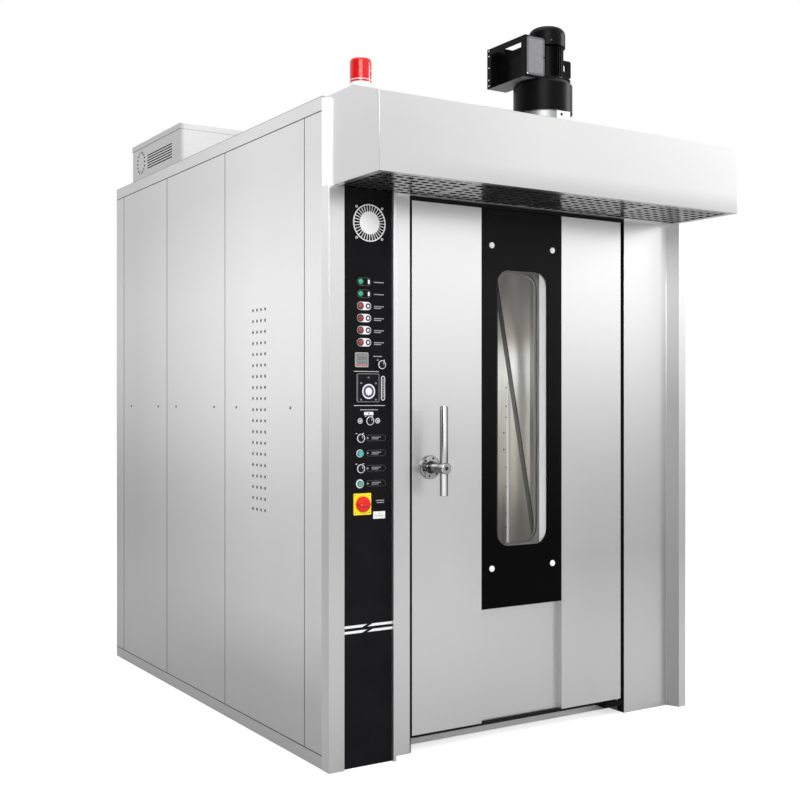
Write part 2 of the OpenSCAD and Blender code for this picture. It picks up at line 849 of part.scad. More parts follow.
module turn_knob(x, z) {
    head_y = panel_y - 14;
    translate([x, head_y, z]) rod_y(14 - clear, device_d);
    translate([x, head_y - 5, z]) span([-3, 3], [0, 6], [-device_d / 2 + 1, device_d / 2 - 1]);
    stem(x, z, head_y);
}

module start_button() color(green) placed() push_button(row_z(0));
module fan_knob() color(black) placed() turn_knob(device_x, row_z(1));
module light_button() color(teal) placed() push_button(row_z(2));
module steam_knob() color(black) placed() turn_knob(device_x, row_z(3));
module mode_selector() color(black) placed() turn_knob(selector_x, selector_z);
module buzzer_switch() color(black) placed() turn_knob(buzzer_x, buzzer_z);

module main_switch_knob()
    color(red) placed() {
        plate_y = panel_y - 4;
        translate([switch_x, plate_y - 22, switch_z]) rod_y(22 - clear, switch_knob_d);
        translate([switch_x, plate_y - 34, switch_z])
            span([-switch_knob_d / 2 + 3, switch_knob_d / 2 - 3], [0, 13], [-5, 5]);
        stem(switch_x, switch_z, plate_y - 22);
    }

module cabinet_fan()
    color(black) placed() {
        rotor_r = fan_d / 2 - 14;
        rotor_t = 26;
        translate([fan_x, panel_back_y + fan_frame_t - 6 - clear - rotor_t, fan_z]) {
            rod_y(rotor_t, 40);
            for (i = [0:6])
                rotate([0, i * 360 / 7, 0]) translate([18, rotor_t / 2, 0])
                    rotate([35, 0, 0]) span([0, rotor_r - 18], [-9, 9], [-1, 1]);
        }
    }

// ---------- chamber ----------
module chamber_floor()
    color(dark_steel) placed() {
        bevel = 10;
        floor_t = 6;
        difference() {
            along_x(outer_x0, outer_x1 - outer_x0)
                polygon([[chamber_y, 0], [chamber_y, floor_z - bevel],
                    [chamber_y + bevel, floor_z], [outer_y1, floor_z], [outer_y1, 0]]);
            span([outer_x0 + floor_t, outer_x1 - floor_t],
                [chamber_y + bevel + floor_t, outer_y1 - floor_t], [-through, floor_z - floor_t]);
        }
    }

module side_tray()
    difference() {
        span([outer_x0, chamber_x0], [chamber_y, outer_y1], [floor_z, ceiling_z]);
        span([outer_x0 - through, chamber_x0 - liner_t],
            [chamber_y + liner_t, outer_y1 - liner_t],
            [floor_z + liner_t, ceiling_z - liner_t]);
    }

module liner_sides() color(bright_steel) placed() both_sides(door_cx) side_tray();

module air_openings(grow)
    for (o = [[return_w, return_z, return_h], [supply_w, supply_z, supply_h]])
        span([door_cx - o[0] / 2 - grow, door_cx + o[0] / 2 + grow],
            [chamber_y1 - through, outer_y1 + through], [o[1] - grow, o[1] + o[2] + grow]);

module liner_rear()
    color(bright_steel) placed() difference() {
        union() {
            difference() {
                span([chamber_x0, chamber_x1], [chamber_y1, outer_y1], [floor_z, ceiling_z]);
                span([chamber_x0 + liner_t, chamber_x1 - liner_t],
                    [chamber_y1 + liner_t, outer_y1 + through],
                    [floor_z + liner_t, ceiling_z - liner_t]);
            }
            intersection() {
                air_openings(liner_t);
                span([chamber_x0, chamber_x1], [chamber_y1, outer_y1], [floor_z, ceiling_z]);
            }
        }
        air_openings(0);
    }

module shaft_hole(z0, z1, d)
    translate([door_cx, rotor_cy, z0 - through]) cylinder(h = z1 - z0 + 2 * through, d = d);

module liner_ceiling()
    color(bright_steel) placed() difference() {
        span([outer_x0, outer_x1], [chamber_y, outer_y1], [ceiling_z, ceiling_z1]);
        difference() {
            span([outer_x0 + liner_t, outer_x1 - liner_t],
                [chamber_y + liner_t, outer_y1 - liner_t],
                [ceiling_z + liner_t, ceiling_z1 + through]);
            shaft_hole(ceiling_z, ceiling_z1, shaft_hole_d + 2 * liner_t);
        }
        shaft_hole(ceiling_z, ceiling_z1, shaft_hole_d);
    }

module insulation()
    color(wool) placed() {
        both_sides(door_cx)
            span([outer_x0, chamber_x0 - liner_t],
                [chamber_y + liner_t, outer_y1 - liner_t],
                [floor_z + liner_t, ceiling_z - liner_t]);
        difference() {
            span([chamber_x0 + liner_t, chamber_x1 - liner_t],
                [chamber_y1 + liner_t, outer_y1],
                [floor_z + liner_t, ceiling_z - liner_t]);
            air_openings(liner_t);
        }
        difference() {
            span([outer_x0 + liner_t, outer_x1 - liner_t],
                [chamber_y + liner_t, outer_y1 - liner_t],
                [ceiling_z + liner_t, ceiling_z1]);
            shaft_hole(ceiling_z, ceiling_z1, shaft_hole_d + 2 * liner_t);
        }
    }

// Slotted cover over the return opening and a row of air blades over the supply opening
module air_louvers()
    color(steel) placed() {
        cover_w = return_w + 40;
        cover_y = chamber_y1 - louver_t;
        slots = 9;
        difference() {
            span([door_cx - cover_w / 2, door_cx + cover_w / 2], [cover_y, chamber_y1],
                [return_z - 20, return_z + return_h + 20]);
            for (i = [0:slots - 1])
                span([door_cx - return_w / 2 + 20, door_cx + return_w / 2 - 20],
                    [cover_y - through, chamber_y1 + through],
                    [return_z + 20 + i * 36, return_z + 38 + i * 36]);
        }
        difference() {
            span([door_cx - cover_w / 2, door_cx + cover_w / 2], [cover_y, chamber_y1],
                [supply_z - 20, supply_z + supply_h + 20]);
            for (i = [0:10])
                span([door_cx - supply_w / 2 + 24 + i * 54, door_cx - supply_w / 2 + 52 + i * 54],
                    [cover_y - through, chamber_y1 + through],
                    [supply_z + 20, supply_z + supply_h - 20]);
        }
    }

// One hairpin heater rod: two legs and a round bend at the bottom
module heater_rod(d, gap, l) {
    for (x = [-gap / 2, gap / 2]) translate([x, 0, -l]) cylinder(h = l, d = d);
    translate([0, 0, -l]) rotate([90, 0, 0]) intersection() {
        rotate_extrude() translate([gap / 2, 0]) circle(d = d);
        translate([-gap, -gap, -d]) cube([2 * gap, gap, 2 * d]);
    }
}

module heater_bank()
    color(dark_steel) placed() {
        plate_z = ceiling_z - heater_drop;
        translate([door_cx, outer_y1, plate_z])
            span([-heater_plate_w / 2, heater_plate_w / 2], [0, heater_plate_d], [0, 6]);
        translate([door_cx, outer_y1, plate_z])
            for (i = [0:heater_count - 1])
                translate([(i - (heater_count - 1) / 2) * heater_pitch, heater_plate_d / 2, 0])
                    heater_rod(heater_d, heater_gap, heater_l);
    }

// ---------- roof box and air fan ----------
module roof_box()
    color(steel) placed() {
        x1 = roof_box_x + roof_box_w;
        y1 = roof_box_y + roof_box_d;
        z1 = body_h + roof_box_h;
        vent_ring_y = y1 - 110;
        vent_ring_z = body_h + 96;
        louver_y0 = roof_box_y + 95;
        louver_l = 305;
        difference() {
            span([roof_box_x, x1], [roof_box_y, y1], [body_h, z1 - 3]);
            span([roof_box_x + sheet_t, x1 - sheet_t],
                [roof_box_y + sheet_t, y1 - sheet_t], [body_h - through, z1]);
            for (i = [0:louver_rows - 1])
                span([roof_box_x - through, roof_box_x + sheet_t + through],
                    [louver_y0, louver_y0 + louver_l],
                    [body_h + 56 + i * 11.5, body_h + 61 + i * 11.5]);
            for (i = [0:15])
                translate([roof_box_x - through, vent_ring_y, vent_ring_z])
                    rotate([i * 22.5, 0, 0])
                    span([0, sheet_t + 2 * through], [-4, 4], [40, 54]);
        }
        difference() {
            span([roof_box_x - sheet_t - clear, x1 + sheet_t + clear],
                [roof_box_y - sheet_t - clear, y1 + sheet_t + clear], [z1 - lid_lip, z1]);
            span([roof_box_x - clear, x1 + clear], [roof_box_y - clear, y1 + clear],
                [z1 - lid_lip - through, z1 - sheet_t - 1]);
        }
    }

module fan_motor()
    color(black) placed() translate([air_x, air_y, body_h]) difference() {
        union() {
            cylinder(h = 12, d = fan_motor_d + 50);
            translate([0, 0, 12]) cylinder(h = fan_motor_h, d = fan_motor_d);
        }
        translate([0, 0, -through]) cylinder(h = 60 + through, d = air_shaft_d + 2 * fit);
    }

module fan_impeller()
    color(dark_steel) placed() translate([air_x, air_y, impeller_z]) {
        ring_t = 3;
        cylinder(h = body_h + 58 - impeller_z, d = air_shaft_d);
        cylinder(h = impeller_h, d = 70);
        translate([0, 0, impeller_h]) cylinder(h = ring_t, d = impeller_d);
        difference() {
            cylinder(h = ring_t, d = impeller_d);
            translate([0, 0, -through]) cylinder(h = ring_t + 2 * through, d = impeller_d * 0.62);
        }
        for (i = [0:blade_count - 1])
            rotate([0, 0, i * 360 / blade_count]) translate([impeller_d * 0.3, 0, 0])
                rotate([0, 0, -35]) span([0, impeller_d * 0.19], [-1.5, 1.5], [0, impeller_h]);
    }

// ---------- rotor drive ----------
module at_gear(z) translate([gear_x, gear_y, z]) children();
module at_rotor(z) translate([door_cx, rotor_cy, z]) children();

module gear_pedestal()
    color(bright_steel) placed() difference() {
        at_gear(body_h) {
            cylinder(h = 10, d = pedestal_d + 30);
            cylinder(h = pedestal_h, d = pedestal_d);
        }
        at_gear(body_h - through) cylinder(h = pedestal_h + 2 * through, d = pedestal_d - 24);
        at_gear(body_h + 14) rotate([0, 0, belt_a])
            span([0, pedestal_d], [-pedestal_d * 0.36, pedestal_d * 0.36], [0, 62]);
    }

module gear_reducer()
    color(black) placed() difference() {
        shoulder = 12;
        union() {
            at_gear(gear_z) cylinder(h = gear_h - shoulder, d = gear_d);
            at_gear(flange_z - shoulder)
                cylinder(h = shoulder, d1 = gear_d, d2 = gear_d - 2 * shoulder);
            translate([motor_x, gear_y, flange_z]) linear_extrude(motor_flange_t)
                rounded_rect(motor_d + 4, motor_d + 14, 14);
        }
        at_gear(gear_z - through) cylinder(h = 50 + through, d = output_d + 2 * fit);
    }

module gear_motor()
    color(black) placed() {
        core_d = motor_d - 22;
        translate([motor_x, gear_y, motor_z - motor_ring_t])
            cylinder(h = motor_ring_t, d = motor_d);
        translate([motor_x, gear_y, motor_z]) {
            cylinder(h = motor_h, d = core_d);
            for (i = [0:fin_count - 1])
                rotate([0, 0, i * 360 / fin_count])
                    span([core_d / 2 - 2, motor_d / 2], [-1.2, 1.2], [0, motor_h - 6]);
            span([bracket_inner_x - motor_x, -core_d / 2 + 4], [-40, 40], [20, 95]);
        }
        translate([motor_x, gear_y, cover_z]) rotate_extrude() {
            edge_r = 30;
            square([cover_d / 2, cover_h - edge_r]);
            square([cover_d / 2 - edge_r, cover_h]);
            translate([cover_d / 2 - edge_r, cover_h - edge_r]) circle(edge_r);
        }
        translate([motor_x, gear_y + 7, motor_z + 16]) rotate([90, 0, 0]) linear_extrude(14)
            difference() {
                translate([motor_d / 2 + lug_w / 2 - 12, lug_h / 2])
                    rounded_rect(lug_w, lug_h, 9);
                translate([motor_d / 2 + 21, lug_h / 2 + 5]) rounded_rect(18, 30, 8.5);
            }
    }

// Open sheet bracket beside the motor: front plate, back plate, inner plate and top bar
module motor_bracket()
    color(black) placed() {
        x0 = bracket_x1 - bracket_w;
        y1 = bracket_y + bracket_d;
        z1 = bracket_z + bracket_h;
        lip = 25;
        tray_x = x0 + 48;
        tray_y = y1 - 46;
        s = bracket_sheet;
        span([x0, bracket_x1], [bracket_y, bracket_y + s], [bracket_z, z1]);
        span([x0, x0 + s], [bracket_y, bracket_y + lip], [bracket_z, z1]);
        span([x0, bracket_x1], [y1 - s, y1], [bracket_z, z1]);
        span([x0, x0 + s], [y1 - lip, y1], [bracket_z, z1]);
        span([bracket_inner_x - s, bracket_inner_x], [bracket_y, tray_y], [bracket_z, z1]);
        span([tray_x, bracket_inner_x], [tray_y - s, tray_y], [bracket_z, z1]);
        span([tray_x, tray_x + s], [bracket_y, y1], [bracket_z, z1 - 24]);
        span([tray_x, tray_x + s], [tray_y - s, y1], [bracket_z, z1]);
        span([x0, x0 + s], [bracket_y, y1], [z1 - 23, z1]);
        span([tray_x, bracket_x1], [bracket_y, y1], [bracket_z, bracket_z + s]);
    }

module at_belt(z) translate([gear_x, gear_y, z]) children();

module drive_belt()
    color(rubber_black) placed() at_belt(belt_z - belt_w / 2) linear_extrude(belt_w) difference() {
        two_circles(drive_belt_r + belt_t, rotor_belt_r + belt_t, belt_c, belt_a);
        two_circles(drive_belt_r + clear, rotor_belt_r + clear, belt_c, belt_a);
    }

// A belt pulley, its groove at belt radius r
module pulley(r, bore)
    translate([0, 0, -pulley_h / 2]) difference() {
        union() {
            cylinder(h = pulley_h, r = r);
            for (z = [0, pulley_h - 4]) translate([0, 0, z]) cylinder(h = 4, r = r + 6);
        }
        translate([0, 0, -through]) cylinder(h = pulley_h + 2 * through, d = bore);
    }

module drive_pulley()
    color(dark_steel) placed() at_gear(belt_z) {
        pulley(drive_belt_r, output_d);
        translate([0, 0, -pulley_h / 2]) cylinder(h = gear_z + 45 - belt_z + pulley_h / 2, d = output_d);
    }

module belt_guard()
    color(steel) placed() difference() {
        at_belt(body_h) linear_extrude(guard_h)
            two_circles(drive_belt_r + 28, rotor_belt_r + 34, belt_c, belt_a);
        at_belt(body_h - through) linear_extrude(guard_h - guard_t + through)
            two_circles(drive_belt_r + 28 - guard_t, rotor_belt_r + 34 - guard_t, belt_c, belt_a);
        at_gear(body_h - through)
            cylinder(h = guard_h + 2 * through, d = pedestal_d + 30 + 2 * clear);
    }

module rotor_bearing()
    color(dark_steel) placed() difference() {
        union() {
            at_rotor(body_h) translate([-70, -70, 0]) cube([140, 140, 10]);
            at_rotor(body_h) cylinder(h = bearing_h - 10, d = 100);
        }
        at_rotor(top_z - through) cylinder(h = 60, d = shaft_d + 2 * fit);
    }

module rotor_shaft()
    color(dark_steel) placed() {
        at_rotor(carrier_top) cylinder(h = belt_z + pulley_h / 2 + 6 - carrier_top, d = shaft_d);
        at_rotor(belt_z) pulley(rotor_belt_r, shaft_d);
    }

// One flat bar per side runs from the front post up to the head of the rear post
module carrier_brace() {
    z0 = carrier_bottom + brace_up;
    z1 = carrier_top - carrier_beam - 5;
    y1 = carrier_y - 2;
    along_x(carrier_x - carrier_bar - brace_t - joint_gap, brace_t)
        polygon([[-y1, z0], [brace_w - y1, z0], [y1, z1], [y1 - brace_w, z1]]);
}

module carrier_side() {
    x0 = carrier_x - carrier_bar;
    z1 = carrier_top - carrier_beam;
    inner = carrier_y - carrier_bar;
    for (y = [-carrier_y, inner])
        span([x0, carrier_x], [y, y + carrier_bar], [carrier_bottom, z1 - joint_gap]);
    for (z = [carrier_bottom, z1 - carrier_bar - joint_gap])
        span([x0, carrier_x], [-inner + joint_gap, inner - joint_gap], [z, z + carrier_bar]);
}

module rotor_carrier()
    color(bright_steel) placed() at_rotor(0) {
        difference() {
            union() {
                span([-carrier_x, carrier_x], [-30, 30],
                    [carrier_top - carrier_beam, carrier_top]);
                translate([0, 0, carrier_top - carrier_beam]) cylinder(h = carrier_beam + 20, d = 110);
            }
            translate([0, 0, carrier_top]) cylinder(h = 30, d = shaft_d);
        }
        both_sides(0) {
            carrier_side();
            carrier_brace();
        }
    }

// ---------- door ----------
module door_outline()
    bent_sheet([[door_x0, door_y1 - 2], [door_x0, door_y0], [channel_x0, door_y0],
        [channel_x0, channel_y], [channel_x1, channel_y], [channel_x1, door_y0],
        [door_x1, door_y0], [door_x1, door_y1 - 2]], sheet_t);

module door_plan(inset)
    polygon([[door_x0 + inset, door_y1 - 2], [door_x0 + inset, door_y0 + inset],
        [channel_x0 - inset, door_y0 + inset], [channel_x0 - inset, channel_y + inset],
        [channel_x1 + inset, channel_y + inset], [channel_x1 + inset, door_y0 + inset],
        [door_x1 - inset, door_y0 + inset], [door_x1 - inset, door_y1 - 2]]);

module window_shape(grow)
    translate([door_cx, window_z + window_h / 2])
        rounded_rect(window_w + 2 * grow, window_h + 2 * grow, window_r + grow);

module window_cut(grow) along_y(door_y0 - through, door_t + 2 * through) window_shape(grow);

module spindle_bore(d)
    translate([handle_x, door_y0 - through, handle_z])
        rod_y(spindle_y - door_y0 + 2 * through, d);

module bolt_bore()
    translate([door_x0 - through, bolt_y, handle_z])
        rod_x(bolt_l + bolt_travel + through, bolt_d + 2 * fit);

module door_shell()
    color(steel) placed() difference() {
        union() {
            translate([0, 0, door_bottom]) linear_extrude(door_top - door_bottom) door_outline();
            for (z = [door_bottom, door_top - sheet_t])
                translate([0, 0, z]) linear_extrude(sheet_t) door_plan(0);
        }
        window_cut(pane_rim);
        spindle_bore(spindle_d + 2 * fit);
        bolt_bore();
    }

module door_core()
    color(wool) placed() difference() {
        translate([0, 0, door_bottom + sheet_t])
            linear_extrude(door_top - door_bottom - 2 * sheet_t) door_plan(sheet_t);
        window_cut(pane_rim);
        spindle_bore(spindle_d + 2 * fit);
        bolt_bore();
    }

// Back skin of the door and the sleeve that lines the window tunnel
module door_liner()
    color(bright_steel) placed() difference() {
        union() {
            span([door_x0, door_x1], [door_y1 - 2, door_y1], [door_bottom, door_top]);
            along_y(door_y0 + glass_t, door_t - glass_t) window_shape(pane_rim);
        }
        window_cut(0);
        along_y(inner_pane_y, inner_pane_t) window_shape(pane_rim - 2);
    }

module door_glass()
    color(smoke_glass) placed() difference() {
        span([channel_x0 + glass_gap, channel_x1 - glass_gap], [door_y0, door_y0 + glass_t],
            [glass_z, door_top - glass_gap]);
        window_cut(0);
        for (x = [-standoff_dx, standoff_dx], z = standoff_z)
            translate([door_cx + x, door_y0 - through, z])
                rod_y(glass_t + 2 * through, standoff_neck_d + 2 * fit);
    }

module window_panes()
    color(clear_glass) placed() {
        along_y(door_y0, glass_t) window_shape(0);
        along_y(inner_pane_y, inner_pane_t) window_shape(pane_rim - 2);
    }

module glass_standoffs()
    color(bright_steel) placed()
        for (x = [-standoff_dx, standoff_dx], z = standoff_z)
            translate([door_cx + x, 0, z]) {
                translate([0, door_y0 - 4, 0]) rod_y(4, standoff_d);
                translate([0, door_y0 - 4, 0]) rod_y(4 + glass_t, standoff_neck_d);
                translate([0, door_y0 + glass_t, 0]) rod_y(channel_d - glass_t, standoff_d - 4);
            }

module handle_rose()
    color(bright_steel) placed() difference() {
        translate([handle_x, door_y0 - rose_t, handle_z]) {
            rod_y(rose_t, rose_d);
            for (i = [0:5])
                rotate([0, i * 60 + 15, 0]) translate([rose_d * 0.4, -2, 0]) rod_y(3, 6);
        }
        translate([handle_x, door_y0 - rose_t - through, handle_z])
            rod_y(rose_t + 2 * through, spindle_d + 2 * fit);
    }

module handle_lever()
    color(bright_steel) placed() translate([handle_x, door_y0, handle_z]) {
        translate([0, -bar_out - bar_d / 2 - hub_over, 0]) rod_y(bar_d + 2 * hub_over, hub_d);
        translate([0, -bar_out, 0]) rod_y(bar_out - rose_t - clear, neck_d);
        translate([0, -bar_out, 0]) rod_y(bar_out + spindle_y - door_y0, spindle_d);
        translate([0, -bar_out, -bar_down]) cylinder(h = bar_up + bar_down, d = bar_d);
    }

module latch_bolt()
    color(dark_steel) placed()
        translate([door_x0 + 0.5, bolt_y, handle_z]) rod_x(bolt_l - 1, bolt_d);

module pivot_pins()
    color(dark_steel) placed() translate([pivot_x, pivot_y, 0]) {
        translate([0, 0, door_top]) cylinder(h = top_pin_l, d = pivot_pin_d);
        translate([0, 0, door_bottom - foot_gap - pin_l])
            cylinder(h = foot_gap + pin_l, d = pivot_pin_d);
    }

base_frame();
upper_frame();
chamber_floor();
door_frame();
jamb_seal();
liner_sides();
liner_rear();
liner_ceiling();
insulation();
air_louvers();
heater_bank();
left_vented_panel();
plain_side_panels();
rear_panels();
roof_panel();
control_post();
left_pillar();
right_pillar();
canopy_shell();
canopy_grilles();
control_panel();
fan_guard();
indicator_lamps();
panel_displays();
main_switch_plate();
beacon_base();
beacon_lens();
roof_box();
gear_pedestal();
gear_reducer();
gear_motor();
motor_bracket();
belt_guard();
drive_belt();
rotor_bearing();
fan_motor();
panel_screws();
pivot_brackets();
door_shell();
door_core();
door_liner();
door_glass();
window_panes();
glass_standoffs();
handle_rose();
pivot_pins();
handle_lever();
latch_bolt();
rotor_shaft();
rotor_carrier();
drive_pulley();
fan_impeller();
cabinet_fan();
start_button();
light_button();
steam_knob();
fan_knob();
mode_selector();
buzzer_switch();
main_switch_knob();
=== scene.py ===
import math

import bpy
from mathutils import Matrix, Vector


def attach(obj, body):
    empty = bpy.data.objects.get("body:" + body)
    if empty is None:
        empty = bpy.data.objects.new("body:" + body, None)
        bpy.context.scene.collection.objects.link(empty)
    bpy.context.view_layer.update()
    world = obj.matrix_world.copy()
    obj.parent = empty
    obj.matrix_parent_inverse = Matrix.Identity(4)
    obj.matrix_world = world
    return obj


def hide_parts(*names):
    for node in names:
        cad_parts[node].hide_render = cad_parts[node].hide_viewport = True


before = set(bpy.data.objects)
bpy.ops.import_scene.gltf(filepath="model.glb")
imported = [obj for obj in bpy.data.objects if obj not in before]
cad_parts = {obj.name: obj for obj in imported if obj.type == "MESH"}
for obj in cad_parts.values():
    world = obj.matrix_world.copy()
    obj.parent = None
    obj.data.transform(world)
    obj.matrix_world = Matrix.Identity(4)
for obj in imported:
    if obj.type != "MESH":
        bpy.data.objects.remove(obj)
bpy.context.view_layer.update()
bpy.ops.object.select_all(action="DESELECT")

# ---- Camera ----
# It stands in front of the left corner at chest height and looks level at the door,
# so that the upright edges stay upright.
CAMERA_PLACE = (-2.6285, -4.2372, 1.2055)
CAMERA_HEADING = math.radians(-32.1728)
LENS_LENGTH = 52.95
SENSOR_WIDTH = 36
LENS_SHIFT = 0.0005
bpy.ops.object.camera_add(location=CAMERA_PLACE, rotation=(math.radians(90), 0, CAMERA_HEADING))
camera = bpy.context.object
camera.data.lens = LENS_LENGTH
camera.data.sensor_width = SENSOR_WIDTH
camera.data.shift_y = LENS_SHIFT
camera.data.clip_end = 100
bpy.context.scene.camera = camera
bpy.context.scene.view_settings.view_transform = "Standard"

# ---- Studio ----
# A white floor runs out under a white sky. Soft lamps stand to the left, to the right and above,
# the way a product is lit, and the floor keeps the oven's shadow.
WHITE = (1, 1, 1, 1)
FLOOR_SIZE = 60
FLOOR_GAP = 0.001
FLOOR_TONE = 0.62
FLOOR_GLOW = 0.62

def set_sockets(node, **values):
    """Puts constants on a shader node's sockets. An underscore stands for a space."""
    for socket, value in values.items():
        node.inputs[socket.replace("_", " ")].default_value = value
    return node

bpy.ops.mesh.primitive_plane_add(size=FLOOR_SIZE, location=(0, 0, -FLOOR_GAP))
studio_floor = bpy.context.object
studio_floor.name = "studio_floor"
bpy.ops.object.transform_apply(location=True, rotation=True, scale=True)
floor_paint = bpy.data.materials.new("floor_paint")
floor_paint.use_nodes = True
floor_nodes = floor_paint.node_tree.nodes
floor_links = floor_paint.node_tree.links
floor_shader = set_sockets(floor_nodes["Principled BSDF"], Roughness=0.9, Specular_IOR_Level=0.1,
                           Base_Color=(FLOOR_TONE, FLOOR_TONE, FLOOR_TONE, 1),
                           Emission_Color=WHITE)
seen = floor_nodes.new("ShaderNodeLightPath")
glow = floor_nodes.new("ShaderNodeMath")
glow.operation = "MULTIPLY"
glow.inputs[1].default_value = FLOOR_GLOW
floor_links.new(seen.outputs["Is Camera Ray"], glow.inputs[0])
floor_links.new(glow.outputs[0], floor_shader.inputs["Emission Strength"])
studio_floor.data.materials.append(floor_paint)

# The sky is pure white to the camera and through the glass. Reflections see it darker at the
# left, as in a studio with a dark wall there, so that round pieces get their band.
DARK_WALL_WAY = (-1.0, -0.05, 0.0)
DARK_WALL_LEVEL = 0.06
LIGHT_LEVEL = 0.72
sky = bpy.context.scene.world or bpy.data.worlds.new("sky")
bpy.context.scene.world = sky
sky.use_nodes = True
sky_nodes, sky_links = sky.node_tree.nodes, sky.node_tree.links
sky_nodes.clear()
sky_out = sky_nodes.new("ShaderNodeOutputWorld")
sky_light = set_sockets(sky_nodes.new("ShaderNodeBackground"), Color=WHITE)
sky_path = sky_nodes.new("ShaderNodeLightPath")
sky_way = sky_nodes.new("ShaderNodeTexCoord")
sky_side = sky_nodes.new("ShaderNodeVectorMath")
sky_side.operation = "DOT_PRODUCT"
sky_side.inputs[1].default_value = DARK_WALL_WAY
sky_wall = set_sockets(sky_nodes.new("ShaderNodeMapRange"), From_Min=0.62, From_Max=0.90,
                       To_Min=1.0, To_Max=DARK_WALL_LEVEL)
sky_shine = set_sockets(sky_nodes.new("ShaderNodeMapRange"), To_Min=LIGHT_LEVEL)
sky_plain = sky_nodes.new("ShaderNodeMath")
sky_plain.operation = "MAXIMUM"
sky_level = set_sockets(sky_nodes.new("ShaderNodeMapRange"), To_Max=1.0)
sky_links.new(sky_way.outputs["Generated"], sky_side.inputs[0])
sky_links.new(sky_side.outputs["Value"], sky_wall.inputs["Value"])
sky_links.new(sky_wall.outputs[0], sky_shine.inputs["To Max"])
sky_links.new(sky_path.outputs["Is Glossy Ray"], sky_shine.inputs["Value"])
sky_links.new(sky_path.outputs["Is Camera Ray"], sky_plain.inputs[0])
sky_links.new(sky_path.outputs["Is Transmission Ray"], sky_plain.inputs[1])
sky_links.new(sky_plain.outputs[0], sky_level.inputs["Value"])
sky_links.new(sky_shine.outputs[0], sky_level.inputs["To Min"])
sky_links.new(sky_level.outputs[0], sky_light.inputs["Strength"])
sky_links.new(sky_light.outputs[0], sky_out.inputs[0])
for place, aim, size, watts, shine in [
        ((-3.6, -6.0, 4.4), (0, 0, 1.2), 3.5, 240, 0.02),
        ((5.4, -2.2, 3.6), (0.1, -0.9, 1.9), 2.0, 130, 0.6),
        ((-1.0, -1.0, 7.0), (0, 0, 1.0), 4.0, 130, 0.1)]:
    bpy.ops.object.light_add(type="AREA", location=place)
    lamp = bpy.context.object
    lamp.data.size = size
    lamp.data.energy = watts
    lamp.data.specular_factor = shine
    lamp.rotation_euler = (Vector(aim) - Vector(place)).to_track_quat("-Z", "Y").to_euler()

# ---- Base and upper frame ----
# The frame is folded from stainless sheet and welded. Its base rails stand on the floor, its
# corner posts and top rails show between the side panels, and it is brushed upright.
ORIGIN_X, ORIGIN_Y = 800, 901
RAMP_TOP = 2.3

def corner(x, y, z):
    """Metres in the oven's frame, from millimetres from the cabinet's left front corner."""
    return Vector(((x - ORIGIN_X) / 1000, (y - ORIGIN_Y) / 1000, z / 1000))

def material(name, color, metallic, roughness):
    """A new material, with its nodes, its links and its shader."""
    paint = bpy.data.materials.new(name)
    paint.use_nodes = True
    nodes = paint.node_tree.nodes
    shader = set_sockets(nodes["Principled BSDF"], Base_Color=(*color, 1), Metallic=metallic,
                         Roughness=roughness)
    return paint, nodes, paint.node_tree.links, shader

def tone_ramp(nodes, stops):
    """A colour ramp with stops of (place, grey level or colour)."""
    ramp = nodes.new("ShaderNodeValToRGB")
    marks = ramp.color_ramp.elements
    marks[0].position, marks[1].position = stops[0][0], stops[-1][0]
    for at, _ in stops[1:-1]:
        marks.new(at)
    for mark, (_, level) in zip(marks, stops):
        mark.color = (*level, 1) if isinstance(level, tuple) else (level, level, level, 1)
    return ramp

def height_ramp(nodes, links, height, tones):
    """A tone that changes with height: stops of (metres, grey level or colour)."""
    rise = set_sockets(nodes.new("ShaderNodeMapRange"), From_Max=RAMP_TOP)
    tone = tone_ramp(nodes, [(z / RAMP_TOP, level) for z, level in tones])
    links.new(height, rise.inputs["Value"])
    links.new(rise.outputs[0], tone.inputs["Fac"])
    return tone.outputs["Color"]

def even_tone(level):
    """Stops for one tone at every height."""
    return [(0.0, level), (RAMP_TOP, level)]

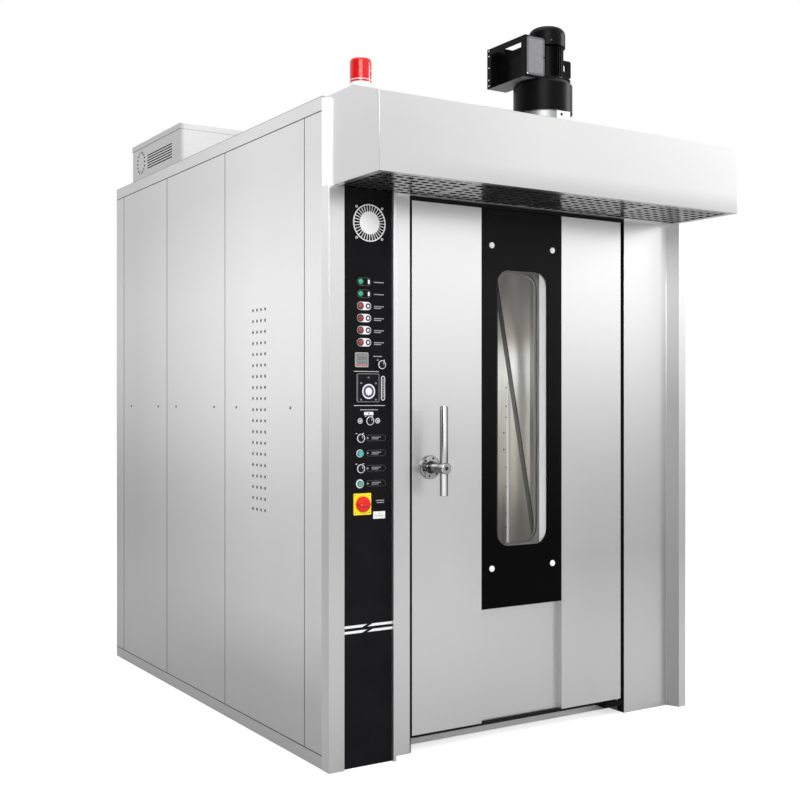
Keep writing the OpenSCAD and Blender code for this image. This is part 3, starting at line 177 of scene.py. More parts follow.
def brushed_steel(name, grain, tones, far_tones=None, along="Y", near=0.0, far=1.0,
                  roughness=0.34, streak=0.05, metallic=0.92, bump_depth=0.05):
    """Stainless sheet: fine brush lines along the grain, and a cloudy tone that goes from the
    near tones to the far tones along one axis, each lighter or darker by height. These changes
    of tone are painted light and shade."""
    steel, nodes, links, shader = material(name, (0.7, 0.7, 0.7), metallic, roughness)
    where = nodes.new("ShaderNodeTexCoord")
    brush = set_sockets(nodes.new("ShaderNodeMapping"), Scale=grain)
    lines = set_sockets(nodes.new("ShaderNodeTexNoise"), Scale=1.0, Detail=4.0)
    cloud = set_sockets(nodes.new("ShaderNodeTexNoise"), Scale=1.3, Detail=2.0)
    place = nodes.new("ShaderNodeSeparateXYZ")
    links.new(where.outputs["Object"], place.inputs[0])
    color = height_ramp(nodes, links, place.outputs["Z"], tones)
    if far_tones:
        way = set_sockets(nodes.new("ShaderNodeMapRange"), From_Min=near, From_Max=far)
        blend = nodes.new("ShaderNodeMix")
        blend.data_type = "RGBA"
        links.new(place.outputs[along], way.inputs["Value"])
        links.new(way.outputs[0], blend.inputs["Factor"])
        links.new(color, blend.inputs["A"])
        links.new(height_ramp(nodes, links, place.outputs["Z"], far_tones), blend.inputs["B"])
        color = blend.outputs["Result"]
    line_tone = set_sockets(nodes.new("ShaderNodeMapRange"), To_Min=1 - streak, To_Max=1 + streak)
    cloud_tone = set_sockets(nodes.new("ShaderNodeMapRange"), To_Min=0.97, To_Max=1.03)
    both = nodes.new("ShaderNodeMath")
    both.operation = "MULTIPLY"
    shade = nodes.new("ShaderNodeVectorMath")
    shade.operation = "SCALE"
    gloss = set_sockets(nodes.new("ShaderNodeMapRange"), To_Min=roughness - streak,
                        To_Max=roughness + streak)
    bump = set_sockets(nodes.new("ShaderNodeBump"), Strength=bump_depth, Distance=0.0004)
    links.new(where.outputs["Object"], brush.inputs["Vector"])
    links.new(where.outputs["Object"], cloud.inputs["Vector"])
    links.new(brush.outputs[0], lines.inputs["Vector"])
    links.new(lines.outputs["Fac"], line_tone.inputs["Value"])
    links.new(cloud.outputs["Fac"], cloud_tone.inputs["Value"])
    links.new(line_tone.outputs[0], both.inputs[0])
    links.new(cloud_tone.outputs[0], both.inputs[1])
    links.new(color, shade.inputs[0])
    links.new(both.outputs[0], shade.inputs["Scale"])
    links.new(shade.outputs[0], shader.inputs["Base Color"])
    links.new(lines.outputs["Fac"], gloss.inputs["Value"])
    links.new(gloss.outputs[0], shader.inputs["Roughness"])
    links.new(lines.outputs["Fac"], bump.inputs["Height"])
    links.new(bump.outputs[0], shader.inputs["Normal"])
    return steel

def finish_nodes(finish, *nodes):
    """Gives CAD nodes their finish."""
    for name in nodes:
        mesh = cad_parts[name].data
        mesh.materials.clear()
        mesh.materials.append(finish)

UPRIGHT_GRAIN = (420, 420, 2.5)
# The side steel's tone is painted light and shade: lightest at mid height, darker towards the
# floor and the top, and darker towards the back.
side_steel = brushed_steel("side_steel", UPRIGHT_GRAIN, [
    (0.0, 0.49), (0.2, 0.53), (0.46, 0.76), (1.0, 0.92), (1.6, 0.92), (2.02, 0.76)], [
    (0.0, 0.52), (0.2, 0.55), (0.46, 0.57), (1.2, 0.57), (1.6, 0.60), (2.0, 0.54)],
    along="Y", near=-0.35, far=0.90)
finish_nodes(side_steel, "base_frame", "upper_frame", "rear_panels")

# ---- Insulated chamber ----
# The chamber is a box of folded stainless trays packed with mineral wool. Heat has tinted the
# sheet a little, and small screws hold the trays together.
CHAMBER_GRAIN = (160, 160, 2)
# The chamber steel's brightness is painted light: a pool of light, brightest at 1.3 to 1.4 m and
# darker lower down and higher up.
chamber_steel = brushed_steel("chamber_steel", CHAMBER_GRAIN, [
    (0.0, (0.44, 0.43, 0.40)), (0.70, (0.45, 0.44, 0.41)), (0.84, (0.66, 0.64, 0.59)),
    (1.05, (0.72, 0.71, 0.66)), (1.22, (0.82, 0.83, 0.79)), (1.33, (1.0, 1.0, 0.99)),
    (1.41, (1.0, 1.0, 0.98)), (1.49, (0.70, 0.67, 0.62)), (1.62, (0.62, 0.61, 0.59)),
    (1.9, (0.54, 0.54, 0.52))],
    roughness=0.30, streak=0.04, metallic=0.55, bump_depth=0.02)
finish_nodes(chamber_steel, "door_frame", "liner_sides", "liner_rear", "liner_ceiling",
             "air_louvers")
# The sill's even tone is lighter than the chamber steel's: painted light, which brightens the sill
# in the door's shade.
sill_steel = brushed_steel("sill_steel", (2.5, 300, 300), even_tone(0.86), roughness=0.4,
                           metallic=0.4, bump_depth=0.01)
finish_nodes(sill_steel, "chamber_floor")
# The rotor carrier's tone is painted shade: darker towards the top.
carrier_steel = brushed_steel("carrier_steel", (200, 200, 3), [
    (0.0, 0.30), (0.6, 0.24), (1.2, 0.13), (1.9, 0.12)], roughness=0.30, metallic=0.9)
finish_nodes(carrier_steel, "rotor_carrier")
# The door liner's tone is painted light: a little lighter from 1.3 to 1.6 m.
tunnel_steel = brushed_steel("tunnel_steel", CHAMBER_GRAIN, [
    (0.0, 0.20), (0.8, 0.20), (1.3, 0.24), (1.6, 0.24), (1.9, 0.20)],
    roughness=0.5, streak=0.02, metallic=0.2, bump_depth=0.01)
finish_nodes(tunnel_steel, "door_liner")

def mottled(name, color, spot, metallic, roughness, scale=40.0, grain=0.0, shine=0.5):
    """A finish whose colour and roughness vary a little, as cast, moulded or painted parts do."""
    paint, nodes, links, shader = material(name, color, metallic, roughness)
    set_sockets(shader, Specular_IOR_Level=shine)
    where = nodes.new("ShaderNodeTexCoord")
    blotch = set_sockets(nodes.new("ShaderNodeTexNoise"), Scale=scale, Detail=6.0)
    shade = tone_ramp(nodes, [(0.35, spot), (0.65, color)])
    gloss = set_sockets(nodes.new("ShaderNodeMapRange"), To_Min=max(roughness - 0.05, 0.02),
                        To_Max=roughness + 0.08)
    links.new(where.outputs["Object"], blotch.inputs["Vector"])
    links.new(blotch.outputs["Fac"], shade.inputs["Fac"])
    links.new(shade.outputs["Color"], shader.inputs["Base Color"])
    links.new(blotch.outputs["Fac"], gloss.inputs["Value"])
    links.new(gloss.outputs[0], shader.inputs["Roughness"])
    if grain:
        pits = set_sockets(nodes.new("ShaderNodeTexNoise"), Scale=900.0)
        bump = set_sockets(nodes.new("ShaderNodeBump"), Strength=grain, Distance=0.0003)
        links.new(where.outputs["Object"], pits.inputs["Vector"])
        links.new(pits.outputs["Fac"], bump.inputs["Height"])
        links.new(bump.outputs[0], shader.inputs["Normal"])
    return paint

mineral_wool = mottled("mineral_wool", (0.020, 0.020, 0.018), (0.012, 0.012, 0.011), 0, 0.95,
                       60, 0.9)
finish_nodes(mineral_wool, "insulation", "door_core")
machined_steel = mottled("machined_steel", (0.42, 0.43, 0.44), (0.34, 0.35, 0.36), 0.95, 0.3)
finish_nodes(machined_steel, "heater_bank", "fan_impeller", "rotor_shaft", "drive_pulley",
             "rotor_bearing", "pivot_pins", "latch_bolt")

def block(name, low, high, edge=0.001):
    """A rectangular piece between two corners, its edges eased."""
    bpy.ops.object.select_all(action="DESELECT")
    bpy.ops.mesh.primitive_cube_add(size=1, location=(low + high) / 2)
    piece = bpy.context.object
    piece.name = name
    piece.scale = high - low
    bpy.ops.object.transform_apply(location=True, rotation=True, scale=True)
    if edge:
        ease = piece.modifiers.new("ease", "BEVEL")
        ease.width = edge
        ease.segments = 2
        bpy.ops.object.modifier_apply(modifier="ease")
    return piece

def node_span(node):
    """The low and the high end of a CAD node along x, y and z, in corner's millimetres."""
    spots = [vertex.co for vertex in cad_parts[node].data.vertices]
    origin = (ORIGIN_X, ORIGIN_Y, 0)
    return [[round(end(spot[axis] for spot in spots) * 1000 + origin[axis], 1)
             for axis in range(3)] for end in (min, max)]

def node_middle(node):
    """The middle of a CAD node, in corner's millimetres."""
    low, high = node_span(node)
    return [(a + b) / 2 for a, b in zip(low, high)]

def dress(piece, finish, body):
    """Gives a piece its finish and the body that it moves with."""
    piece.data.materials.append(finish)
    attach(piece, body)
    return piece

# Two upright tube lamps behind the door frame light the chamber, and an area light adds what
# they would throw on the right wall.
TUBE_WIDE, TUBE_DEEP = 24, 16
TUBE_FRONT = node_span("door_frame")[1][1] + 1
TUBE_LOW_Z, TUBE_HIGH_Z = 800, 1500
CHAMBER_LIGHT_PLACE = (420, 420, 1150)
CHAMBER_LIGHT_WAY = (1, 0.35, 0)
CHAMBER_LIGHT_WIDE, CHAMBER_LIGHT_TALL, CHAMBER_LIGHT_WATTS = 0.36, 1.3, 5
lamp_glow, _, _, lamp_shader = material("lamp_glow", (1, 0.97, 0.92), 0, 0.4)
set_sockets(lamp_shader, Emission_Color=(1, 0.98, 0.95, 1), Emission_Strength=9.0)
for side, x in [("left", 279), ("right", 1350)]:
    lamp = block("chamber_lamp_" + side, corner(x, TUBE_FRONT, TUBE_LOW_Z),
                 corner(x + TUBE_WIDE, TUBE_FRONT + TUBE_DEEP, TUBE_HIGH_Z), 0.003)
    dress(lamp, lamp_glow, "cabinet")
bpy.ops.object.light_add(type="AREA", location=corner(*CHAMBER_LIGHT_PLACE))
chamber_light = bpy.context.object
chamber_light.data.shape = "RECTANGLE"
chamber_light.data.size = CHAMBER_LIGHT_WIDE
chamber_light.data.size_y = CHAMBER_LIGHT_TALL
chamber_light.data.energy = CHAMBER_LIGHT_WATTS
chamber_light.rotation_euler = Vector(CHAMBER_LIGHT_WAY).to_track_quat("-Z", "Y").to_euler()

# A second sheet lines the right wall near the door. A bright steam rod runs down the wall
# behind it, with small screws beside it.
WALL_X = node_span("liner_rear")[1][0]
LINING_X = WALL_X - 3
LINING_END, LINING_LOW_Z, LINING_HIGH_Z = 695, 32, 1933
ROD_Y, ROD_WIDE, ROD_LOW_Z, ROD_HIGH_Z = 844, 10, 540, 1290
SCREW_HALF_WIDE, SCREW_HALF_TALL = 4.5, 3.5
WALL_SCREWS = [(866, 640), (866, 700), (866, 820), (866, 905), (884, 985), (884, 1060),
               (866, 1130), (866, 1180), (866, 1262), (640, 1250), (640, 1420)]
# The lining's tone is painted light and shade: darkest from 0.8 to 1.2 m, lighter below and above.
lining_steel = brushed_steel("lining_steel", CHAMBER_GRAIN, [
    (0.0, 0.45), (0.65, 0.45), (0.8, 0.33), (0.95, 0.30), (1.1, 0.24), (1.2, 0.28),
    (1.35, 0.42), (1.5, 0.48), (1.9, 0.48)],
    roughness=0.36, streak=0.03, metallic=0.6, bump_depth=0.02)
front_lining = block("chamber_front_lining", corner(LINING_X, TUBE_FRONT, LINING_LOW_Z),
                     corner(WALL_X - 0.1, LINING_END, LINING_HIGH_Z), 0.0006)
dress(front_lining, lining_steel, "cabinet")
# The rod's near-white, barely metallic tone is a painted sheen, a little darker near its top.
rod_steel = brushed_steel("rod_steel", (300, 300, 20), [
    (0.0, 1.0), (1.1, 1.0), (1.3, 0.85)], roughness=0.3, metallic=0.1)
steam_rod = block("steam_rod", corner(WALL_X - ROD_WIDE, ROD_Y, ROD_LOW_Z),
                  corner(WALL_X, ROD_Y + ROD_WIDE, ROD_HIGH_Z), 0.0035)
dress(steam_rod, rod_steel, "cabinet")
burnt_steel = mottled("burnt_steel", (0.05, 0.04, 0.03), (0.03, 0.025, 0.02), 0.3, 0.5, 60)
for i, (y, z) in enumerate(WALL_SCREWS):
    face_x, head = (LINING_X, 1.3) if y < LINING_END else (WALL_X, 2.1)
    screw = block(f"wall_screw_{i}",
                  corner(face_x - head, y - SCREW_HALF_WIDE, z - SCREW_HALF_TALL),
                  corner(face_x, y + SCREW_HALF_WIDE, z + SCREW_HALF_TALL), 0.0008)
    dress(screw, burnt_steel, "cabinet")

# ---- Side and roof panels ----
# Flat trays of brushed stainless sheet hang on the frame with one row of screws at mid height.
# The front panel on the left has four columns of round vent holes, and dark sealant fills the
# seams between the trays.
FOLD_RADIUS = 0.0009
LARGE_FLAT = 0.0015
HAIR_EDGE = 0.0001
LEVEL_GRAIN = (2.5, 420, 420)

def keep_flats(piece):
    """Shades the large flats flat, so that only the folds shade round."""
    for face in piece.data.polygons:
        if face.area > LARGE_FLAT:
            face.use_smooth = False

def rounded_copy(node, body, finish):
    """A copy of a CAD node with its folded edges rounded, shown in its place."""
    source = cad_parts[node]
    piece = source.copy()
    piece.data = source.data.copy()
    for key in list(piece.keys()):
        del piece[key]
    piece.parent = None
    piece.name = node + "_finished"
    bpy.context.scene.collection.objects.link(piece)
    bpy.ops.object.select_all(action="DESELECT")
    bpy.context.view_layer.objects.active = piece
    piece.select_set(True)
    bpy.ops.object.mode_set(mode="EDIT")
    bpy.ops.mesh.select_all(action="SELECT")
    bpy.ops.mesh.remove_doubles(threshold=0.00002)
    bpy.ops.mesh.dissolve_limited(angle_limit=math.radians(0.5))
    bpy.ops.object.mode_set(mode="OBJECT")
    ease = piece.modifiers.new("ease", "BEVEL")
    ease.width = FOLD_RADIUS
    ease.segments = 2
    ease.limit_method = "ANGLE"
    ease.angle_limit = math.radians(40)
    bpy.ops.object.modifier_apply(modifier="ease")
    bpy.ops.object.shade_smooth_by_angle(angle=math.radians(50))
    keep_flats(piece)
    piece.data.materials.clear()
    dress(piece, finish, body)
    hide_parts(node)
    return piece

rounded_copy("plain_side_panels", "cabinet", side_steel)
finish_nodes(side_steel, "left_vented_panel", "belt_guard")
roof_steel = brushed_steel("roof_steel", LEVEL_GRAIN, even_tone(0.30), roughness=0.55,
                           streak=0.02, metallic=0.4, bump_depth=0.01)
finish_nodes(roof_steel, "roof_panel")
screw_steel = mottled("screw_steel", (0.22, 0.22, 0.23), (0.10, 0.10, 0.11), 1.0, 0.25, 25)
finish_nodes(screw_steel, "panel_screws")

SEAM_HALF, SEAM_DEEP, TRAY_GAP_HALF = 1.7, 0.5, 1.5
THIRD_SEAM_Y = 1434
trays_low, trays_high = node_span("plain_side_panels")
vented_low, vented_high = node_span("left_vented_panel")
base_low, base_high = node_span("base_frame")
SEAM_SIDES = [("left", trays_low[0] - 0.3), ("right", trays_high[0] - 0.2)]
SEAM_YS = (vented_low[1] - TRAY_GAP_HALF, vented_high[1] + TRAY_GAP_HALF, THIRD_SEAM_Y,
           trays_high[1] + TRAY_GAP_HALF)
sealant = mottled("sealant", (0.03, 0.03, 0.03), (0.05, 0.05, 0.05), 0, 0.6, 90, 0.3, 0.2)
for i, y in enumerate(SEAM_YS):
    for side, low_x in SEAM_SIDES:
        seam = block(f"seam_{side}_{i}", corner(low_x, y - SEAM_HALF, trays_low[2]),
                     corner(low_x + SEAM_DEEP, y + SEAM_HALF, trays_high[2] - 0.5), HAIR_EDGE)
        dress(seam, sealant, "cabinet")
for side, low_x in SEAM_SIDES:
    for name, z in [("low", trays_low[2]), ("high", trays_high[2])]:
        seam = block(f"seam_{side}_{name}", corner(low_x, base_low[1], z - SEAM_HALF),
                     corner(low_x + SEAM_DEEP, base_high[1] - 2, z + SEAM_HALF), HAIR_EDGE)
        dress(seam, sealant, "cabinet")

# ---- Front posts and pillars ----
# Long strips folded from one sheet each stand in front of the frame, beside the control panel
# and the doorway. Their folds have a small radius, which catches the light.
POST_TOP, SHEET, BEND = 1904, 2, 0.9
SLANT_LOW_X, SLANT_HIGH_X = 1545.6, 1566.4
DOORWAY_SIDE_X = 1326
# The front steel's tone is painted light and shade: it brightens towards the top, and towards the
# right it is darker lower down.
front_steel = brushed_steel("front_steel", UPRIGHT_GRAIN, [
    (0.0, 0.61), (0.5, 0.67), (0.75, 0.69), (1.05, 0.72), (1.38, 0.83), (1.8, 0.98)], [
    (0.0, 0.63), (0.3, 0.58), (0.62, 0.53), (1.2, 0.76), (1.5, 0.90), (1.8, 1.0)],
    along="X", near=-0.30, far=0.35, roughness=0.28, streak=0.008, bump_depth=0.0)
# The slant of the right pillar gets this darker copy of the steel: painted shade, lighter towards
# the top.
slant_shade_steel = brushed_steel("slant_shade_steel", UPRIGHT_GRAIN, [
    (0.0, 0.29), (0.6, 0.33), (1.2, 0.41), (1.8, 0.80)], roughness=0.55, streak=0.01,
    metallic=0.3, bump_depth=0.0)
# This black serves the real seals and the belt, and also paints shadow on steel faces in the gaps
# round the door.
seal_and_gap_shadow_black = mottled("seal_and_gap_shadow_black", (0.008, 0.008, 0.008), (0.012, 0.012, 0.012), 0, 0.8, 50,
                     0.4, 0.1)

def folded(name, path, low_z, high_z, thickness, bend):
    """A sheet folded along a path seen from above, standing from low_z to high_z."""
    points = [corner(x, y, low_z) for x, y in path]
    bpy.ops.object.select_all(action="DESELECT")
    bpy.ops.mesh.primitive_plane_add(size=0.0005, location=points[0])
    piece = bpy.context.object
    piece.name = name
    bpy.ops.object.mode_set(mode="EDIT")
    bpy.ops.mesh.select_mode(type="VERT")
    bpy.ops.mesh.select_all(action="SELECT")
    bpy.ops.mesh.merge(type="CENTER")
    for here, there in zip(points, points[1:]):
        bpy.ops.mesh.extrude_region_move(TRANSFORM_OT_translate={"value": there - here})
    bpy.ops.mesh.select_all(action="SELECT")
    rise = Vector((0, 0, (high_z - low_z) / 1000))
    bpy.ops.mesh.extrude_region_move(TRANSFORM_OT_translate={"value": rise})
    bpy.ops.object.mode_set(mode="OBJECT")
    bpy.ops.object.transform_apply(location=True, rotation=True, scale=True)
    sheet = piece.modifiers.new("sheet", "SOLIDIFY")
    sheet.thickness = thickness / 1000
    sheet.offset = 1
    sheet.use_even_offset = True
    bpy.ops.object.modifier_apply(modifier="sheet")
    fold = piece.modifiers.new("fold", "BEVEL")
    fold.width = bend / 1000
    fold.segments = 4
    fold.limit_method = "ANGLE"
    fold.angle_limit = math.radians(20)
    bpy.ops.object.modifier_apply(modifier="fold")
    bpy.ops.object.shade_smooth_by_angle(angle=math.radians(35))
    keep_flats(piece)
    return piece

# The control post gets a darker copy of the front steel, most of all near the top: painted shade
# under the canopy.
shaded_post_steel = brushed_steel("shaded_post_steel", UPRIGHT_GRAIN, [
    (0.0, 0.57), (0.5, 0.63), (0.75, 0.65), (1.05, 0.67), (1.38, 0.74), (1.8, 0.82)],
    roughness=0.28, streak=0.008, bump_depth=0.0)
for node, path in [
        ("control_post", [(0, 48), (0, 0), (54, 0), (54, 14), (80, 14)]),
        ("left_pillar", [(220, 14), (246, 14), (246, 0), (254, 0), (254, 48), (337, 48),
                         (337, 60)]),
        ("right_pillar", [(1322, 60), (1322, 48), (1545, 48), (1567, 0), (1600, 0),
                          (1600, 48)])]:
    strip = folded(node + "_sheet", path, 0, POST_TOP, SHEET, BEND)
    strip_steel = shaded_post_steel if node == "control_post" else front_steel
    dress(strip, strip_steel, "cabinet")
    strip.data.materials.append(slant_shade_steel)
    strip.data.materials.append(seal_and_gap_shadow_black)
    # Faces of the slant get the darker slant steel, painted shade; faces of the right pillar that
    # look into the doorway get the black, painted shadow in the gap.
    for face in strip.data.polygons:
        x, way = face.center.x, face.normal.x
        if corner(SLANT_LOW_X, 0, 0).x < x < corner(SLANT_HIGH_X, 0, 0).x and way < -0.5:
            face.material_index = 1
        if node == "right_pillar" and x < corner(DOORWAY_SIDE_X, 0, 0).x and way < -0.7:
            face.material_index = 2
    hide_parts(node)

# ---- Control panel ----
# A satin black plate carries the panel fan, six signal lamps, a temperature display, a touch
# controller, rotary switches, push buttons and the yellow and red main switch.
PANEL_Y = node_span("control_panel")[0][1]
OUTWARD = (math.radians(90), 0, 0)
panel_black = mottled("panel_black", (0.005, 0.005, 0.006), (0.007, 0.007, 0.008), 0, 0.42, 8,
                      0, 0.07)
finish_nodes(panel_black, "control_panel")
print_white = mottled("print_white", (0.86, 0.87, 0.88), (0.80, 0.81, 0.82), 0, 0.5, 80)
black_plastic = mottled("black_plastic", (0.008, 0.008, 0.008), (0.014, 0.014, 0.014), 0, 0.4,
                        30, 0.2, 0.25)
finish_nodes(black_plastic, "cabinet_fan")

def rounded_plate(name, x, z, wide, tall, front, back, radius):
    """A flat plate on the panel, centred on x and z, with round corners."""
    piece = block(name, corner(x - wide / 2, front, z - tall / 2),
                  corner(x + wide / 2, back, z + tall / 2), 0)
    bpy.ops.object.mode_set(mode="EDIT")
    bpy.ops.mesh.select_mode(type="EDGE")
    bpy.ops.object.mode_set(mode="OBJECT")
    mesh = piece.data
    for part in (mesh.vertices, mesh.polygons, mesh.edges):
        for item in part:
            item.select = False
    for edge in mesh.edges:
        a, b = (mesh.vertices[i].co for i in edge.vertices)
        edge.select = abs(a.y - b.y) > 0.9 * (back - front) / 1000
    bpy.ops.object.mode_set(mode="EDIT")
    bpy.ops.mesh.bevel(offset=radius / 1000, segments=8, affect="EDGES")
    bpy.ops.object.mode_set(mode="OBJECT")
    return piece

def framed_plate(name, x, z, wide, tall, front, back, radius, rim, rim_finish, field_finish):
    """A plate of one finish that shows as a rim round a slightly raised field of another."""
    piece = rounded_plate(name, x, z, wide, tall, front, back, radius)
    dress(piece, rim_finish, "cabinet")
    field = rounded_plate(name + "_field", x, z, wide - 2 * rim, tall - 2 * rim, front - 0.3,
                          front, max(radius - rim, 0.4))
    dress(field, field_finish, "cabinet")
    return piece

def turned(name, place, turn, outline, steps=48):
    """A round piece spun from its outline of (radius, height), in millimetres."""
    points = [Vector((r / 1000, 0, h / 1000)) for r, h in outline]
    bpy.ops.object.select_all(action="DESELECT")
    bpy.ops.mesh.primitive_plane_add(size=0.0002, location=(0, 0, 0))
    piece = bpy.context.object
    piece.name = name
    bpy.ops.object.mode_set(mode="EDIT")
    bpy.ops.mesh.select_mode(type="VERT")
    bpy.ops.mesh.select_all(action="SELECT")
    bpy.ops.mesh.merge(type="CENTER")
    bpy.ops.transform.translate(value=points[0])
    for here, there in zip(points, points[1:]):
        bpy.ops.mesh.extrude_region_move(TRANSFORM_OT_translate={"value": there - here})
    bpy.ops.mesh.select_all(action="SELECT")
    bpy.ops.mesh.spin(steps=steps, angle=math.tau, center=(0, 0, 0), axis=(0, 0, 1))
    bpy.ops.mesh.select_all(action="SELECT")
    bpy.ops.mesh.remove_doubles(threshold=0.000005)
    bpy.ops.mesh.normals_make_consistent(inside=False)
    bpy.ops.object.mode_set(mode="OBJECT")
    piece.rotation_euler = turn
    piece.location = place
    bpy.ops.object.transform_apply(location=True, rotation=True, scale=True)
    bpy.ops.object.shade_smooth_by_angle(angle=math.radians(35))
    return piece

def flat_disc(radius, deep):
    """The outline of a plain disc."""
    return [(0, 0), (radius, 0), (radius, deep), (0, deep)]

def flat_ring(inner, outer, deep):
    """The outline of a plain ring."""
    return [(inner, 0), (outer, 0), (outer, deep), (inner, deep), (inner, 0)]

def screw_head(radius, side, top_radius, height, root=0):
    """The outline of a screw head whose edge slopes in at the top. Its root is sunk."""
    return [(0, -root), (radius, -root), (radius, side), (top_radius, height), (0, height)]

def printed(name, low_x, low_z, high_x, high_z, front, back, paint=print_white, body="cabinet"):
    """A thin raised mark between two corners on the panel's front."""
    mark = block(name, corner(low_x, front, low_z), corner(high_x, back, high_z), HAIR_EDGE)
    return dress(mark, paint, body)

def print_bar(name, low_x, low_z, high_x, high_z, paint=print_white):
    """A printed bar on the panel itself."""
    return printed(name, low_x, low_z, high_x, high_z, PANEL_Y - 0.5, PANEL_Y, paint)

# The fan guard is one bright disc with a rim and 32 spokes, over the fan's black frame. Four
# screws with sunk middles hold it.
FAN_X, _, FAN_Z = node_middle("fan_guard")
FAN_BACK = node_span("fan_guard")[1][1]
SPOKES = 32
SPOKE_LOW, SPOKE_HIGH = Vector((0.0370, -0.0036, -0.0011)), Vector((0.0592, -0.0022, 0.0011))
SCREW_X, SCREW_Z = 49, 51
FAN = corner(FAN_X, PANEL_Y, FAN_Z)
guard_white = mottled("guard_white", (1.0, 1.0, 1.0), (0.96, 0.96, 0.96), 0.0, 0.3)
guard_rim = turned("fan_guard_rim", FAN, OUTWARD, [
    (58.5, 0), (62, 0), (62, 2.6), (61, 3.8), (59.4, 3.8), (58.5, 2.6), (58.5, 0)], 64)
guard_hub = turned("fan_guard_hub", FAN, OUTWARD, [
    (0, 2.2), (37.5, 2.2), (37.5, 3.0), (36, 3.8), (0, 4.0)], 64)
first_spoke = block("fan_guard_spoke_0", SPOKE_LOW, SPOKE_HIGH, 0.0003)
spokes = [first_spoke]
for i in range(1, SPOKES):
    spoke = first_spoke.copy()
    spoke.data = first_spoke.data.copy()
    spoke.name = f"fan_guard_spoke_{i}"
    bpy.context.scene.collection.objects.link(spoke)
    spokes.append(spoke)
for i, spoke in enumerate(spokes):
    bpy.ops.object.select_all(action="DESELECT")
    bpy.context.view_layer.objects.active = spoke
    spoke.select_set(True)
    spoke.rotation_euler = (0, math.radians(360 * i / SPOKES), 0)
    spoke.location = FAN
    bpy.ops.object.transform_apply(location=True, rotation=True, scale=True)
for piece in [guard_rim, guard_hub, *spokes]:
    dress(piece, guard_white, "cabinet")
    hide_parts("fan_guard")
fan_frame = turned("fan_frame", corner(FAN_X, FAN_BACK, FAN_Z), OUTWARD, [
    (23, 0), (56, 0), (62, 0), (62, 38), (56, 38), (56, 2), (23, 2), (23, 0)])
dress(fan_frame, black_plastic, "cabinet")
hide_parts("fan_guard")
fan_screw_dark = mottled("fan_screw_dark", (0.03, 0.03, 0.03), (0.05, 0.05, 0.05), 0.3, 0.4)
for i, (x, z) in enumerate([(-SCREW_X, -SCREW_Z), (SCREW_X, -SCREW_Z),
                            (-SCREW_X, SCREW_Z), (SCREW_X, SCREW_Z)]):
    place = FAN + Vector((x / 1000, 0, z / 1000))
    screw = turned(f"fan_screw_{i}", place, OUTWARD, [
        (2.2, 0), (4.2, 0), (4.2, 1.8), (3.6, 2.8), (2.6, 2.8), (2.2, 1.6), (2.2, 0)], 20)
    dress(screw, guard_white, "cabinet")
    socket = turned(f"fan_screw_socket_{i}", place, OUTWARD, flat_disc(2.2, 1.2), 16)
    dress(socket, fan_screw_dark, "cabinet")

# Six signal lamps: green ones in a black field with a half white icon, red ones in a white
# field with a round dark icon.
SIGNALS, RED_SIGNALS, SIGNAL_RADIUS = 6, 4, 9.5
signals_low, signals_high = node_span("indicator_lamps")
SIGNAL_X = node_middle("indicator_lamps")[0]
LOWEST_SIGNAL_Z = signals_low[2] + SIGNAL_RADIUS
SIGNAL_PITCH = (signals_high[2] - SIGNAL_RADIUS - LOWEST_SIGNAL_Z) / (SIGNALS - 1)
FIELD_X, FIELD_WIDE, FIELD_TALL, FIELD_RADIUS, FIELD_RIM = SIGNAL_X + 14, 53, 27, 13.2, 1.2
SIGN_X, HALF_SIGN_X = SIGNAL_X + 29, SIGNAL_X + 31.5
NOTE_LOW_X, NOTE_HIGH_X, NOTE_HALF, NOTE_PITCH = 175, 213, 1.4, 6
print_grey = mottled("print_grey", (0.40, 0.40, 0.41), (0.32, 0.32, 0.33), 0, 0.5)
print_dim = mottled("print_dim", (0.13, 0.13, 0.135), (0.10, 0.10, 0.10), 0, 0.5)
lens_green = mottled("lens_green", (0.02, 0.52, 0.26), (0.01, 0.38, 0.18), 0, 0.18, 60)
lens_red = mottled("lens_red", (0.46, 0.05, 0.05), (0.30, 0.02, 0.02), 0, 0.2, 60)
lens_dark = mottled("lens_dark", (0.04, 0.04, 0.045), (0.02, 0.02, 0.02), 0, 0.2, 60, 0, 0.3)
